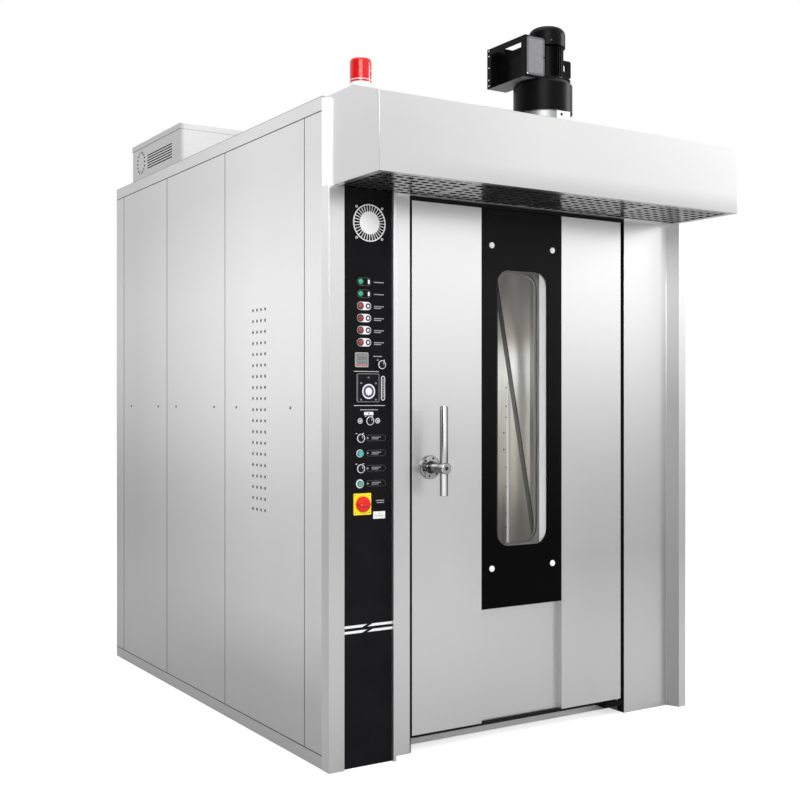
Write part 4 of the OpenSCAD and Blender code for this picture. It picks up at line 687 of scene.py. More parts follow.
for i in range(SIGNALS):
    z = LOWEST_SIGNAL_Z + SIGNAL_PITCH * i
    green = i >= RED_SIGNALS
    rim_paint, field_paint, slot = (
        (print_dim, panel_black, "black_panel") if green
        else (print_white, print_white, "white_plastic"))
    framed_plate(f"lamp_field_{i}", FIELD_X, z, FIELD_WIDE, FIELD_TALL, PANEL_Y - 0.6, PANEL_Y,
                 FIELD_RADIUS, FIELD_RIM, rim_paint, field_paint)
    ring = turned(f"lamp_ring_{i}", corner(SIGNAL_X, PANEL_Y - 0.9, z), OUTWARD, [
        (8.0, 0), (12.0, 0), (12.0, 1.6), (11.2, 2.2), (8.2, 2.2), (8.0, 1.6), (8.0, 0)])
    dress(ring, lens_dark, "cabinet")
    lens = turned(f"lamp_lens_{i}", corner(SIGNAL_X, PANEL_Y, z), OUTWARD, [
        (0, 0), (8.6, 0), (8.6, 3.0), (7.8, 4.0), (6.0, 4.7), (3.0, 5.0), (0, 5.0)])
    dress(lens, lens_green if green else lens_red, "cabinet")
    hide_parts("indicator_lamps")
    if green:
        sign = rounded_plate(f"lamp_sign_{i}", HALF_SIGN_X, z, 7, 15, PANEL_Y - 1.3,
                             PANEL_Y - 0.9, 3.3)
        dress(sign, print_white, "cabinet")
    else:
        sign = turned(f"lamp_sign_{i}", corner(SIGN_X, PANEL_Y - 0.9, z), OUTWARD,
                      flat_ring(4.6, 9.4, 0.4), 32)
        dress(sign, lens_dark, "cabinet")
    for k in range(1 if green else 2):
        line_z = z - NOTE_PITCH * k
        print_bar(f"lamp_note_{i}_{k}", NOTE_LOW_X, line_z - NOTE_HALF, NOTE_HIGH_X - 10 * k,
                  line_z + NOTE_HALF, print_grey)

# The temperature display and the touch controller with its ring.
DISPLAY_X, DISPLAY_Z, DISPLAY_SIZE, DISPLAY_FRONT = 126, 1339, 48, PANEL_Y - 6
DIGIT_PITCH, DIGIT_HALF, DIGIT_LOW_Z, DIGIT_HIGH_Z = 9, 3, DISPLAY_Z - 20, DISPLAY_Z - 14
LINE_HALF = 16
display_grey = mottled("display_grey", (0.20, 0.21, 0.21), (0.16, 0.17, 0.17), 0, 0.3, 120)
display_rim = mottled("display_rim", (0.52, 0.52, 0.52), (0.46, 0.46, 0.46), 0, 0.4, 60)
display = framed_plate("temperature_display", DISPLAY_X, DISPLAY_Z, DISPLAY_SIZE, DISPLAY_SIZE,
                       DISPLAY_FRONT, PANEL_Y, 3, 2.4, display_rim, display_grey)
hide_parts("panel_displays")
digit_red = mottled("digit_red", (0.80, 0.22, 0.20), (0.62, 0.15, 0.14), 0, 0.4, 200)
for i in range(4):
    x = DISPLAY_X + DIGIT_PITCH * (i - 1.5)
    printed(f"display_mark_{i}", x - DIGIT_HALF, DIGIT_LOW_Z, x + DIGIT_HALF, DIGIT_HIGH_Z,
            DISPLAY_FRONT - 0.6, DISPLAY_FRONT - 0.3, digit_red)
display_light = mottled("display_light", (0.32, 0.33, 0.33), (0.28, 0.29, 0.29), 0, 0.4, 90)
for i, z in enumerate((DISPLAY_Z - 4, DISPLAY_Z + 13)):
    printed(f"display_line_{i}", DISPLAY_X - LINE_HALF, z, DISPLAY_X + LINE_HALF, z + 2,
            DISPLAY_FRONT - 0.5, DISPLAY_FRONT - 0.3, display_light)

TOUCH_X, TOUCH_Z, TOUCH_WIDE, TOUCH_TALL, TOUCH_FRONT = 149.5, 1247, 84, 94, PANEL_Y - 7
DIAL_X, DIAL_Z = 150, 1235
KEY_HALF_WIDE, KEY_HALF_TALL = 3.4, 2.4
KEYS = [(-28, 27), (28, 27), (-29, -27), (28, -27), (0, 46)]
touch_glass = mottled("touch_glass", (0.011, 0.010, 0.013), (0.008, 0.007, 0.010), 0, 0.2, 20,
                      0, 0.1)
touch_rim = mottled("touch_rim", (0.26, 0.26, 0.29), (0.20, 0.20, 0.23), 0, 0.35, 60)
touch = framed_plate("touch_controller", TOUCH_X, TOUCH_Z, TOUCH_WIDE, TOUCH_TALL, TOUCH_FRONT,
                     PANEL_Y, 4, 2.0, touch_rim, touch_glass)
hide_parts("panel_displays")
violet = mottled("violet_ring", (0.12, 0.09, 0.25), (0.08, 0.06, 0.18), 0, 0.3, 60, 0, 0.2)
for name, paint, outline in [
        ("touch_dial", violet, [(12.5, 0), (20.5, 0), (20.5, 1.0), (19.5, 1.5), (12.5, 1.5),
                                (12.5, 0)]),
        ("touch_dial_rim", print_white, flat_ring(20.5, 24.6, 1.2)),
        ("touch_dial_eye", print_white, [(0, 0), (12.5, 0), (12.5, 1.6), (11.5, 2.0),
                                         (0, 2.0)])]:
    dial = turned(name, corner(DIAL_X, TOUCH_FRONT - 0.3, DIAL_Z), OUTWARD, outline)
    dress(dial, paint, "cabinet")
for i, (x, z) in enumerate(KEYS):
    key_x, key_z = DIAL_X + x, DIAL_Z + z
    printed(f"touch_mark_{i}", key_x - KEY_HALF_WIDE, key_z - KEY_HALF_TALL,
            key_x + KEY_HALF_WIDE, key_z + KEY_HALF_TALL, TOUCH_FRONT - 0.6,
            TOUCH_FRONT - 0.3, touch_rim)

# Thin printed lines above and below the controller, a scale beside it, and the signs round the
# mode selector.
MODE_X, _, MODE_Z = node_middle("mode_selector")
MODE_PLATE_Z = MODE_Z + 24
SCALE_X, SCALE_Z, SCALE_WIDE, SCALE_TALL = 210, 1246, 15, 82
TICKS, TICK_PITCH, TICK_HALF, TICK_TALL = 12, 5.4, 2.6, 1.6
for name, low_x, low_z, high_x, high_z, paint in [
        ("line_above_controller", 99, 1300.2, 193, 1301.8, print_white),
        ("line_below_controller", 99, 1187.7, 217, 1189.3, print_white),
        ("note_timer", 172, 1350, 206, 1353, print_grey),
        ("note_mode", 122, 1173, 190, 1176, print_grey)]:
    print_bar(name, low_x, low_z, high_x, high_z, paint)
framed_plate("scale_plate", SCALE_X, SCALE_Z, SCALE_WIDE, SCALE_TALL, PANEL_Y - 0.6, PANEL_Y,
             7.3, 2.6, print_white, lens_dark)
for i in range(TICKS):
    z = SCALE_Z - 30 + TICK_PITCH * i
    printed(f"scale_tick_{i}", SCALE_X - TICK_HALF, z, SCALE_X + TICK_HALF, z + TICK_TALL,
            PANEL_Y - 1.2, PANEL_Y - 0.9)
mode_plate = rounded_plate("mode_plate", MODE_X - 1, MODE_PLATE_Z, 36, 11, PANEL_Y - 0.6,
                           PANEL_Y, 3)
dress(mode_plate, print_white, "cabinet")
mode_dot = turned("mode_dot", corner(MODE_X - 1, PANEL_Y - 0.6, MODE_PLATE_Z), OUTWARD,
                  flat_disc(2.4, 0.3), 16)
dress(mode_dot, lens_dark, "cabinet")
for i, x in enumerate((MODE_X - 34, MODE_X + 33)):
    ring = turned(f"mode_sign_{i}", corner(x, PANEL_Y, MODE_Z), OUTWARD,
                  flat_ring(6.4, 8.8, 0.5), 32)
    dress(ring, print_white, "cabinet")
    core = turned(f"mode_sign_core_{i}", corner(x, PANEL_Y - 0.5, MODE_Z), OUTWARD,
                  flat_disc(3.2, 0.4), 16)
    dress(core, print_white, "cabinet")

# Rotary switches: black caps with a grip and a white mark, each in a white ring. Push buttons
# stand in white rings too.
STOP_RADIUS, STOP_ANGLE = 20, 40
STOP_HALF_WIDE, STOP_HALF_TALL = 2.6, 1.3
GRIP_FRONT, GRIP_HALF_WIDE, GRIP_HALF_TALL = PANEL_Y - 19, 3, 8.5

def bezel(name, x, z, inner, outer, finish, out=0.0):
    """A ring that stands round a switch or a button, out from the panel."""
    ring = turned(name, corner(x, PANEL_Y - out, z), OUTWARD,
                  [(inner, 0), (outer, 0), (outer, 1.5), (outer - 0.6, 2.2), (inner + 0.4, 2.2),
                   (inner, 1.6), (inner, 0)])
    return dress(ring, finish, "cabinet")

for name, node, body in [("steam", "steam_knob", "steam"), ("fan", "fan_knob", "fan_speed"),
                         ("mode", "mode_selector", "mode"), ("buzzer", "buzzer_switch", "buzzer")]:
    x, _, z = node_middle(node)
    bezel(name + "_bezel", x, z, 12.2, 14.6, print_white, 7.0)
    collar = turned(name + "_collar", corner(x, PANEL_Y, z), OUTWARD, [
        (9.8, 0), (14.4, 0), (14.4, 7.0), (12.2, 7.0), (12.2, 8.6), (9.8, 8.6), (9.8, 0)])
    dress(collar, black_plastic, "cabinet")
    knob = turned(name + "_knob_cap", corner(x, PANEL_Y - 0.3, z), OUTWARD, [
        (0, 0), (9.5, 0), (9.5, 10.5), (8.8, 12.4), (7.5, 13.2), (0, 13.7)])
    dress(knob, black_plastic, body)
    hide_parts(node)
    grip = block(name + "_knob_grip", corner(x - GRIP_HALF_WIDE, GRIP_FRONT, z - GRIP_HALF_TALL),
                 corner(x + GRIP_HALF_WIDE, PANEL_Y - 13, z + GRIP_HALF_TALL), 0.0012)
    dress(grip, black_plastic, body)
    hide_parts(node)
    printed(name + "_knob_mark", x - 0.9, z + 1, x + 0.9, z + 7.6, GRIP_FRONT - 0.3,
            GRIP_FRONT + 0.1, body=body)
    for k, turn in enumerate((-STOP_ANGLE, STOP_ANGLE)):
        tick_x = x + STOP_RADIUS * math.sin(math.radians(turn))
        tick_z = z + STOP_RADIUS * math.cos(math.radians(turn))
        print_bar(f"{name}_stop_{k}", tick_x - STOP_HALF_WIDE, tick_z - STOP_HALF_TALL,
                  tick_x + STOP_HALF_WIDE, tick_z + STOP_HALF_TALL)

button_teal = mottled("button_teal", (0.07, 0.50, 0.50), (0.04, 0.40, 0.40), 0, 0.25, 60)
button_green = mottled("button_green", (0.13, 0.38, 0.31), (0.09, 0.29, 0.24), 0, 0.3, 60)
for name, node, cap, outer in [("light", "light_button", button_teal, 13.0),
                               ("start", "start_button", button_green, 14.8)]:
    x, _, z = node_middle(node)
    bezel(name + "_bezel", x, z, 10.4, outer, print_white)
    push = turned(name + "_push_cap", corner(x, PANEL_Y - 5, z), OUTWARD, [
        (0, 0), (9.5, 0), (9.5, 4.2), (8.8, 4.9), (7.6, 5.0), (6.5, 4.6), (0, 4.5)])
    dress(push, cap, name)
    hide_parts(node)

# Beside each of the four lower devices a pointer and two bars are printed in a dark caption
# field. Places along x are counted from the device's middle.
CAPTION_X, CAPTION_WIDE, CAPTION_TALL = 62, 74, 20
POINTER_X, TEXT_X, TEXT_LONG, TEXT_PITCH, TEXT_TALL = 30, 45, 26, 5.6, 1.8
caption_white = mottled("caption_white", (0.50, 0.50, 0.51), (0.40, 0.40, 0.41), 0, 0.5, 120)
for i, node in enumerate(("steam_knob", "light_button", "fan_knob", "start_button")):
    x, _, z = node_middle(node)
    framed_plate(f"caption_field_{i}", x + CAPTION_X, z, CAPTION_WIDE, CAPTION_TALL,
                 PANEL_Y - 0.5, PANEL_Y, 9.8, 0.9, print_dim, panel_black)
    pointer = turned(f"caption_pointer_{i}", corner(x + POINTER_X, PANEL_Y - 0.5, z), OUTWARD,
                     flat_disc(3.0, 0.4), 3)
    dress(pointer, print_white, "cabinet")
    for k in range(2):
        line_z = z - 3.9 + TEXT_PITCH * k
        printed(f"caption_line_{i}_{k}", x + TEXT_X, line_z, x + TEXT_X + TEXT_LONG + 9 * k,
                line_z + TEXT_TALL, PANEL_Y - 1.1, PANEL_Y - 0.8, caption_white)

# ---- Main switch ----
# A yellow plate with four small screws carries a round red disc with a grip across it, both
# moulded from plastic. The disc turns a quarter.
PLATE_X, _, PLATE_Z = node_middle("main_switch_plate")
PLATE_FRONT = node_span("main_switch_plate")[0][1]
DISC_GRIP_LONG, DISC_GRIP_HALF = 20, 5
DISC_GRIP_FRONT = PANEL_Y - 26
switch_yellow = mottled("switch_yellow", (0.96, 0.80, 0.01), (0.90, 0.74, 0.01), 0, 0.35, 30)
finish_nodes(switch_yellow, "main_switch_plate")
switch_red = mottled("switch_red", (0.80, 0.012, 0.008), (0.70, 0.008, 0.006), 0, 0.28, 30)
disc = turned("switch_disc", corner(PLATE_X, PLATE_FRONT - 0.3, PLATE_Z), OUTWARD, [
    (0, 0), (25.5, 0), (25.5, 8), (24.2, 11), (20, 12.6), (8, 13.4), (0, 13.5)], 64)
grip = block("switch_grip",
             corner(PLATE_X - DISC_GRIP_LONG, DISC_GRIP_FRONT, PLATE_Z - DISC_GRIP_HALF),
             corner(PLATE_X + DISC_GRIP_LONG, PANEL_Y - 14, PLATE_Z + DISC_GRIP_HALF), 0.002)
for piece in (disc, grip):
    dress(piece, switch_red, "main_switch")
    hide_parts("main_switch_knob")
# A small white dot near the grip's left end is a painted highlight.
switch_glint_dot = block("switch_glint_dot", corner(PLATE_X - 18, DISC_GRIP_FRONT - 0.4, PLATE_Z - 1.5),
                   corner(PLATE_X - 15, DISC_GRIP_FRONT + 0.2, PLATE_Z + 1.5), 0.0002)
dress(switch_glint_dot, print_white, "main_switch")
for i, (x, z) in enumerate([(-27, -29), (27, -29), (-27, 29), (27, 29)]):
    dot = turned(f"switch_screw_{i}", corner(PLATE_X + x, PLATE_FRONT, PLATE_Z + z), OUTWARD,
                 screw_head(1.8, 0.5, 1.4, 0.8), 16)
    dress(dot, lens_dark, "cabinet")

# Printed notes beside the switch, a white tag below it, and two white stripes lower down. The
# stripes' inner ends are cut at a slant.
STRIPE_HALF, STRIPE_SLANT = 4.2, 0.010
print_bar("switch_note_0", 182, 872, 214, 874.6, print_grey)
print_bar("switch_note_1", 186, 865, 214, 867.6, print_grey)
tag = rounded_plate("panel_tag", 195, 825, 46, 24, PANEL_Y - 0.6, PANEL_Y, 1)
dress(tag, print_white, "cabinet")
for i, (low_x, high_x, z) in enumerate([(190, 200, 829), (178, 211, 821)]):
    printed(f"tag_line_{i}", low_x, z, high_x, z + 2.2, PANEL_Y - 0.9, PANEL_Y - 0.6, print_grey)
for i, z in enumerate((445, 463)):
    for side, low_x, high_x in [("left", 55, 139), ("right", 160, 245)]:
        stripe = block(f"stripe_{side}_{i}", corner(low_x, PANEL_Y - 0.5, z - STRIPE_HALF),
                       corner(high_x, PANEL_Y, z + STRIPE_HALF), 0)
        middle = corner((low_x + high_x) / 2, 0, 0).x
        for v in stripe.data.vertices:
            if (v.co.x > middle) == (side == "left"):
                v.co.x += STRIPE_SLANT if v.co.z > z / 1000 else -STRIPE_SLANT
        dress(stripe, print_white, "cabinet")

# ---- Doorway ----
# Black silicone seals run up both jambs and along the lintel, stuck to the folded sheet. They
# are partly painted shadow, black strips that also fill the gaps round the door where shade
# falls. The door turns on pins in two brackets, which are painted black like the castings of
# the drive.
SEAL_TOP = 1892
finish_nodes(seal_and_gap_shadow_black, "jamb_seal", "drive_belt")
for name, low, high in [
        ("doorway_seal_left", (337.2, 50, 0), (345.5, 64, SEAL_TOP)),
        ("doorway_seal_right", (1320.2, 50, 0), (1321.8, 84, SEAL_TOP)),
        ("doorway_seal_top", (337.2, 47.2, SEAL_TOP - 0.4), (1321.8, 64, POST_TOP - 0.2))]:
    dress(block(name, corner(*low), corner(*high), 0.0008), seal_and_gap_shadow_black, "cabinet")
satin_black = mottled("satin_black", (0.0025, 0.0025, 0.003), (0.004, 0.004, 0.0045), 0, 0.34,
                      18, 0.2, 0.07)
finish_nodes(satin_black, "pivot_brackets", "gear_reducer", "gear_motor", "motor_bracket",
             "fan_motor")

# ---- Door ----
# The leaf is a folded stainless tray with a sunk middle channel. A black printed glass fills
# the upper part of the channel, held by four screws, with a tall clear window in it.
door_low, door_high = node_span("door_shell")
DOOR_Y = door_low[1]
DOOR_EDGE_X = door_low[0] + 1
leaf = rounded_copy("door_shell", "door", front_steel)
# The leaf's left side face, which shows in the gap at the left jamb, is painted black: painted
# shadow.
leaf.data.materials.append(seal_and_gap_shadow_black)
for face in leaf.data.polygons:
    if face.normal.x < -0.9 and face.center.x < corner(DOOR_EDGE_X, 0, 0).x:
        face.material_index = 1
sweep = block("door_sweep", corner(door_low[0] + 7, 60, 46),
              corner(door_high[0] - 12, 116, door_low[2]), 0.001)
dress(sweep, seal_and_gap_shadow_black, "door")

def printed_glass(name, tones):
    """Black printed glass with faint smears in its gloss. It is greyer with height, a painted
    reflection of the bright sky above.
    """
    glass, nodes, links, shader = material(name, (0.004, 0.004, 0.0046), 0, 0.14)
    set_sockets(shader, Specular_IOR_Level=0.03)
    where = nodes.new("ShaderNodeTexCoord")
    place = nodes.new("ShaderNodeSeparateXYZ")
    smear = set_sockets(nodes.new("ShaderNodeTexNoise"), Scale=6.0)
    gloss = set_sockets(nodes.new("ShaderNodeMapRange"), To_Min=0.10, To_Max=0.20)
    links.new(where.outputs["Object"], place.inputs[0])
    links.new(where.outputs["Object"], smear.inputs["Vector"])
    links.new(height_ramp(nodes, links, place.outputs["Z"], tones), shader.inputs["Base Color"])
    links.new(smear.outputs["Fac"], gloss.inputs["Value"])
    links.new(gloss.outputs[0], shader.inputs["Roughness"])
    return glass

glass_black = printed_glass("glass_black", [(0.0, 0.001), (0.7, 0.002), (1.9, 0.014)])
finish_nodes(glass_black, "door_glass")
window_glass, _, _, window_shader = material("window_glass", (0.965, 0.965, 0.96), 0, 0.0)
set_sockets(window_shader, Transmission_Weight=1.0, IOR=1.08, Specular_IOR_Level=0.3)
finish_nodes(window_glass, "window_panes")
strip_steel = brushed_steel("strip_steel", UPRIGHT_GRAIN, [
    (0.0, 0.66), (1.0, 0.66), (2.0, 0.70)], roughness=0.45, streak=0.01, metallic=0.1,
    bump_depth=0.0)
CAP_RADIUS = 11
standoffs_low, standoffs_high = node_span("glass_standoffs")
panes_low, panes_high = node_span("window_panes")
STRIP_FRONT, STRIP_BACK, STRIP_INSET = 56.2, 57.4, 9
window_strip = block("window_strip",
                     corner(panes_high[0] - 38.5, STRIP_FRONT, panes_low[2] + STRIP_INSET),
                     corner(panes_high[0] - 7.2, STRIP_BACK, panes_high[2] - STRIP_INSET), 0.0002)
dress(window_strip, strip_steel, "door")
for i in range(4):
    x = standoffs_high[0] - CAP_RADIUS if i % 2 else standoffs_low[0] + CAP_RADIUS
    z = standoffs_high[2] - CAP_RADIUS if i // 2 else standoffs_low[2] + CAP_RADIUS
    cap = turned(f"glass_screw_{i}", corner(x, DOOR_Y, z), OUTWARD, [
        (0, -20), (6, -20), (6, 0), (CAP_RADIUS, 0), (CAP_RADIUS, 2.4), (9.6, 4.0), (4.2, 4.0),
        (4.0, 2.2), (0, 2.2)], 32)
    dress(cap, guard_white, "door")
    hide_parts("glass_standoffs")

# ---- Handle ----
# Polished stainless: a screwed round rose, a thick neck and an upright lever bar through its
# hub. Turning it drives the bolt into the jamb.
HANDLE_X, _, HANDLE_Z = node_middle("handle_rose")
lever_low, lever_high = node_span("handle_lever")
NECK_Y, HUB_Y, BAR_Y = 39.6, lever_low[1] + 32, lever_low[1] + 17
BAR_LOW_Z, BAR_LONG = lever_low[2], lever_high[2] - lever_low[2]
ROSE_SCREWS, ROSE_SCREW_RADIUS = 6, 32
UPWARD = (0, 0, 0)

def mirror_steel(name, stops):
    """Polished steel with fine polishing lines; its colour darkens where it turns away from the
    view, a painted reflection.
    """
    steel, nodes, links, shader = material(name, (0.7, 0.7, 0.7), 1.0, 0.14)
    turn = nodes.new("ShaderNodeLayerWeight")
    tone = tone_ramp(nodes, stops)
    where = nodes.new("ShaderNodeTexCoord")
    lines = set_sockets(nodes.new("ShaderNodeTexNoise"), Scale=350.0)
    gloss = set_sockets(nodes.new("ShaderNodeMapRange"), To_Min=0.10, To_Max=0.22)
    links.new(turn.outputs["Facing"], tone.inputs["Fac"])
    links.new(tone.outputs["Color"], shader.inputs["Base Color"])
    links.new(where.outputs["Object"], lines.inputs["Vector"])
    links.new(lines.outputs["Fac"], gloss.inputs["Value"])
    links.new(gloss.outputs[0], shader.inputs["Roughness"])
    return steel

# The handle's bright middles and dark edges are painted reflection, set by how far each surface
# turns from the view.
handle_steel = mirror_steel("handle_steel", [
    (0.0, 0.95), (0.10, 0.85), (0.22, 0.36), (0.45, 0.18), (0.8, 0.02)])
rose_steel = mirror_steel("rose_steel", [(0.0, 0.60), (0.12, 0.50), (0.3, 0.22), (0.9, 0.02)])
rose = turned("handle_rose_disc", corner(HANDLE_X, DOOR_Y, HANDLE_Z), OUTWARD, [
    (18.4, 0), (41, 0), (41, 6.2), (39.8, 7.6), (38, 8), (18.4, 8), (18.4, 0)], 64)
dress(rose, rose_steel, "door")
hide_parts("handle_rose")
for i in range(ROSE_SCREWS):
    a = math.radians(15 + 360 / ROSE_SCREWS * i)
    bolt_place = corner(HANDLE_X + ROSE_SCREW_RADIUS * math.cos(a), DOOR_Y - 8,
                        HANDLE_Z + ROSE_SCREW_RADIUS * math.sin(a))
    bolt = turned(f"rose_screw_{i}", bolt_place, OUTWARD, [
        (0, 0), (3.6, 0), (3.6, 1.2), (2.6, 2.0), (1.6, 2.0), (1.5, 0.8), (0, 0.8)], 20)
    dress(bolt, satin_black, "door")
neck = turned("handle_neck", corner(HANDLE_X, NECK_Y, HANDLE_Z), OUTWARD, [
    (0, 0), (22, 0), (21, 3), (18.6, 8), (18, 14), (18, 60), (17, 64), (0, 64)], 64)
dress(neck, rose_steel, "handle")
hub = turned("handle_hub", corner(HANDLE_X, HUB_Y, HANDLE_Z), OUTWARD, [
    (0, 0), (18, 0), (19.6, 1.5), (20, 3), (20, 28), (19, 30.6), (17, 32), (7, 32), (6.2, 31),
    (6, 27), (0, 27)], 64)
dress(hub, handle_steel, "handle")
bar = turned("handle_bar", corner(HANDLE_X, BAR_Y, BAR_LOW_Z), UPWARD, [
    (0, 0), (12.4, 0), (13.6, 0.8), (14, 2.2), (14, BAR_LONG - 2.2), (13.6, BAR_LONG - 0.8),
    (12.4, BAR_LONG), (0, BAR_LONG)], 64)
dress(bar, handle_steel, "handle")
set_screw = turned("handle_set_screw", corner(HANDLE_X, HUB_Y - 27, HANDLE_Z), OUTWARD,
                   flat_disc(7.2, 5.6), 6)
dress(set_screw, lens_dark, "handle")
for piece in (neck, hub, bar):
    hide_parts("handle_lever")

# ---- Canopy ----
# A hood of brushed sheet hangs over the door to catch steam. Its grain runs sideways, its
# folds are rounded, and slotted filter panels lie on the lips underneath.
GRILLES, GRILLE_LEFT, GRILLE_WIDE, GRILLE_PITCH = 4, 22, 388.4, 389.2
grilles_low, grilles_high = node_span("canopy_grilles")
GRILLE_FRONT, GRILLE_BACK = grilles_low[1], grilles_high[1]
GRILLE_LOW_Z = grilles_low[2] + 0.2
GRILLE_HIGH_Z = grilles_low[2] + 2
SLOT_COLUMNS, SLOT_ROWS = 9, 8
SLOT_BARS = (0.012, 0.018)
GRILLE_RIM = 0.012
# The canopy steel's tone is painted light and shade: even at the left; towards the right it is
# darker on the front and brighter on the top.
canopy_steel = brushed_steel("canopy_steel", LEVEL_GRAIN, [
    (0.0, 0.68), (1.92, 0.66), (2.05, 0.67), (2.2, 0.71)], [
    (0.0, 0.58), (1.915, 0.60), (1.97, 0.77), (2.2, 0.80)],
    along="X", near=-0.72, far=-0.15, roughness=0.28, streak=0.008, bump_depth=0.0)
rounded_copy("canopy_shell", "cabinet", canopy_steel)
grille_steel = brushed_steel("grille_steel", LEVEL_GRAIN, even_tone(0.33), roughness=0.24,
                             streak=0.01, bump_depth=0.0)

def slotted_plate(name, low, high, columns, rows, solid):
    """A flat plate with a field of slots: bars between them, a wider rim around them."""
    across, along = 2 * columns + 1, 2 * rows + 1
    bpy.ops.object.select_all(action="DESELECT")
    bpy.ops.mesh.primitive_grid_add(x_subdivisions=across, y_subdivisions=along, size=1)
    piece = bpy.context.object
    piece.name = name
    for v in piece.data.vertices:
        for axis, steps in ((0, across), (1, along)):
            k = round((v.co[axis] + 0.5) * steps)
            span = high[axis] - low[axis]
            pitch = (span - 2 * GRILLE_RIM) / (steps // 2)
            half_bar = 0.5 * solid[axis] if k % 2 else -0.5 * solid[axis]
            at = GRILLE_RIM + (k // 2) * pitch + half_bar
            v.co[axis] = low[axis] + (0 if k == 0 else span if k == steps else at)
        v.co.z = high[2]
    for face in piece.data.polygons:
        face.select = False
    bpy.ops.object.mode_set(mode="EDIT")
    bpy.ops.mesh.select_mode(type="FACE")
    bpy.ops.object.mode_set(mode="OBJECT")
    for i, face in enumerate(piece.data.polygons):
        face.select = i % across % 2 == 1 and i // across % 2 == 1
    bpy.ops.object.mode_set(mode="EDIT")
    bpy.ops.mesh.delete(type="FACE")
    bpy.ops.object.mode_set(mode="OBJECT")
    sheet = piece.modifiers.new("sheet", "SOLIDIFY")
    sheet.thickness = high[2] - low[2]
    sheet.offset = -1
    bpy.ops.object.modifier_apply(modifier="sheet")
    return piece

for i in range(GRILLES):
    low_x = GRILLE_LEFT + GRILLE_PITCH * i
    grille = slotted_plate(f"canopy_grille_{i}", corner(low_x, GRILLE_FRONT, GRILLE_LOW_Z),
                           corner(low_x + GRILLE_WIDE, GRILLE_BACK, GRILLE_HIGH_Z),
                           SLOT_COLUMNS, SLOT_ROWS, SLOT_BARS)
    dress(grille, grille_steel, "cabinet")
    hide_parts("canopy_grilles")
# Inside the hood, above the grilles, lies a black sheet: painted shade, the dark inside of the
# hood seen through the slots.
hood_shade_black = mottled("hood_shade_black", (0.004, 0.004, 0.004), (0.007, 0.007, 0.007), 0, 0.9,
                       300, 0.5, 0.05)
hood_shade_sheet = block("canopy_hood_shade_sheet", corner(24, GRILLE_FRONT + 4, grilles_high[2] - 4),
                   corner(1576, GRILLE_BACK - 3, grilles_high[2]), 0.0004)
dress(hood_shade_sheet, hood_shade_black, "cabinet")

# ---- Signal light ----
# A lens moulded from clear red plastic, with a white ring near its foot, stands on a white
# plastic base on the canopy.
BEACON_X, BEACON_Y, _ = node_middle("beacon_lens")
BEACON_LOW_Z = node_span("beacon_lens")[0][2]
beacon_red = mottled("beacon_red", (0.70, 0.006, 0.006), (0.58, 0.004, 0.004), 0, 0.14, 20)
finish_nodes(print_white, "beacon_base")
beacon = turned("beacon_cap", corner(BEACON_X, BEACON_Y, BEACON_LOW_Z), UPWARD, [
    (0, 0), (35, 0), (35, 5.5), (33.5, 6), (33.5, 9), (35, 9.5), (35, 66), (34, 71), (31, 75),
    (27, 76), (0, 76)], 64)
dress(beacon, beacon_red, "cabinet")
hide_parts("beacon_lens")
beacon_ring = turned("beacon_ring", corner(BEACON_X, BEACON_Y, BEACON_LOW_Z + 6.2), UPWARD,
                     flat_ring(33, 34.6, 2.6), 64)
dress(beacon_ring, print_white, "cabinet")

# ---- Roof drive ----
# A gear motor stands on a bright pedestal and drives the rotor's belt. Its castings are black.
# A plate with a darker rim is screwed on the bracket's front; its grey is painted light, the
# light that falls on the black front face. The thin foot under the bracket takes the same grey,
# and bright screws hold flange and bracket.
bracket_low, bracket_high = node_span("motor_bracket")
BRACKET_X, _, BRACKET_Z = node_middle("motor_bracket")
COVER_X, COVER_Z, COVER_WIDE, COVER_TALL = BRACKET_X + 3, BRACKET_Z + 2, 84, 142
COVER_FRONT = bracket_low[1] - 1
GEAR_X, GEAR_Y, _ = node_middle("gear_pedestal")
PEDESTAL_PLATE_Y = 64.5
SIDEWAYS = (0, math.radians(-90), 0)
pedestal_steel = mottled("pedestal_steel", (0.37, 0.38, 0.39), (0.32, 0.33, 0.34), 0.9, 0.42, 20)
finish_nodes(pedestal_steel, "gear_pedestal")
lit_front_grey = mottled("lit_front_grey", (0.24, 0.24, 0.245), (0.21, 0.21, 0.215), 0.1, 0.45, 60,
                     0.3, 0.3)
cover_edge = mottled("cover_edge", (0.14, 0.14, 0.145), (0.12, 0.12, 0.125), 0.1, 0.45, 60,
                     0.3, 0.3)
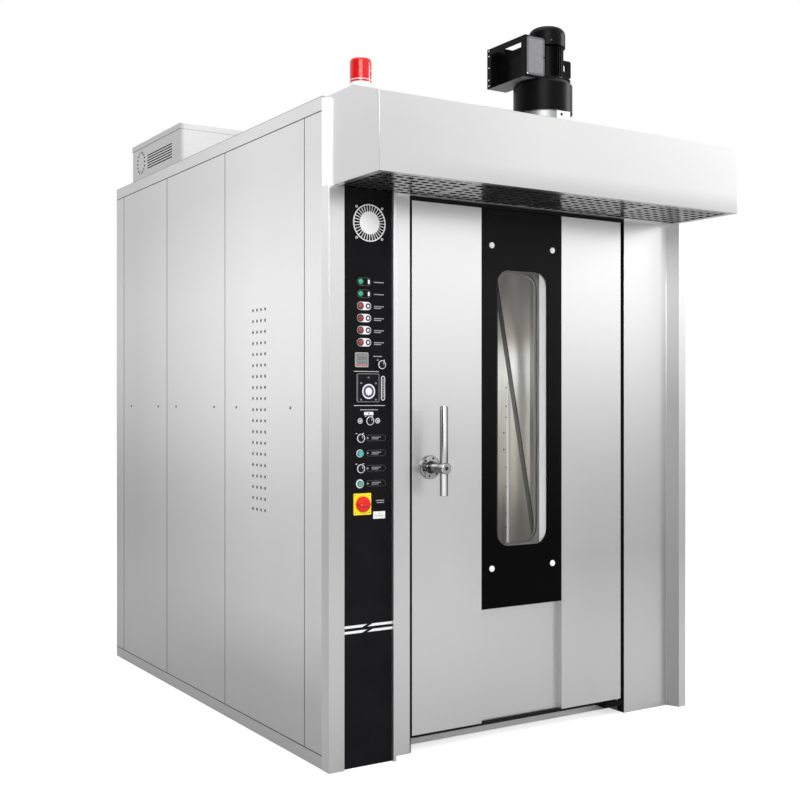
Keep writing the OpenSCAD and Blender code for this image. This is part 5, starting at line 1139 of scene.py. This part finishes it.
framed_plate("bracket_front_plate", COVER_X, COVER_Z, COVER_WIDE, COVER_TALL, COVER_FRONT,
             COVER_FRONT + 1, 2, 8, cover_edge, lit_front_grey)
foot = block("bracket_foot", corner(bracket_low[0] + 2, 110, bracket_low[2] - 0.8),
             corner(bracket_high[0] - 2, 330, bracket_low[2]), 0.0002)
dress(foot, lit_front_grey, "cabinet")
for i, (x, z) in enumerate([(-39, -68), (39, -68), (-39, 68), (39, 68), (39, 0)]):
    bolt = turned(f"cover_screw_{i}", corner(COVER_X + x, COVER_FRONT, COVER_Z + z), OUTWARD,
                  screw_head(2.6, 1.0, 1.8, 1.8), 16)
    dress(bolt, guard_white if i == 0 else satin_black, "cabinet")
for i, z in enumerate((2418, 2440, 2486, 2532, 2552)):
    bolt = turned(f"flange_screw_{i}", corner(bracket_low[0], bracket_high[1] - 12, z), SIDEWAYS,
                  screw_head(2.6, 1.2, 1.8, 2.0), 16)
    dress(bolt, guard_white, "cabinet")
pedestal_plate = block("pedestal_plate", corner(1003, PEDESTAL_PLATE_Y, 2238),
                       corner(1066, PEDESTAL_PLATE_Y + 3.5, 2289), 0.0006)
dress(pedestal_plate, guard_white, "cabinet")
pedestal_bolt = turned("pedestal_screw", corner(1024, PEDESTAL_PLATE_Y, 2275), OUTWARD,
                       screw_head(5, 1.5, 4, 2.6, root=2), 20)
dress(pedestal_bolt, satin_black, "cabinet")
cap_bolt = turned("fan_cover_screw", corner(GEAR_X - 10, GEAR_Y - 63, 2562), OUTWARD,
                  screw_head(3, 1.2, 2, 2.0, root=4), 16)
dress(cap_bolt, cover_edge, "cabinet")

# ---- Roof box ----
# A louvred sheet box with a lid covers the air fan's motor. Its front wall is brighter, for it
# faces the lamps.
box_steel = brushed_steel("box_steel", UPRIGHT_GRAIN, [
    (0.0, 0.47), (2.2, 0.47), (2.29, 0.49)], [
    (0.0, 0.75), (2.2, 0.76), (2.29, 0.78)], along="X", near=-0.755, far=-0.735)
rounded_copy("roof_box", "cabinet", box_steel)
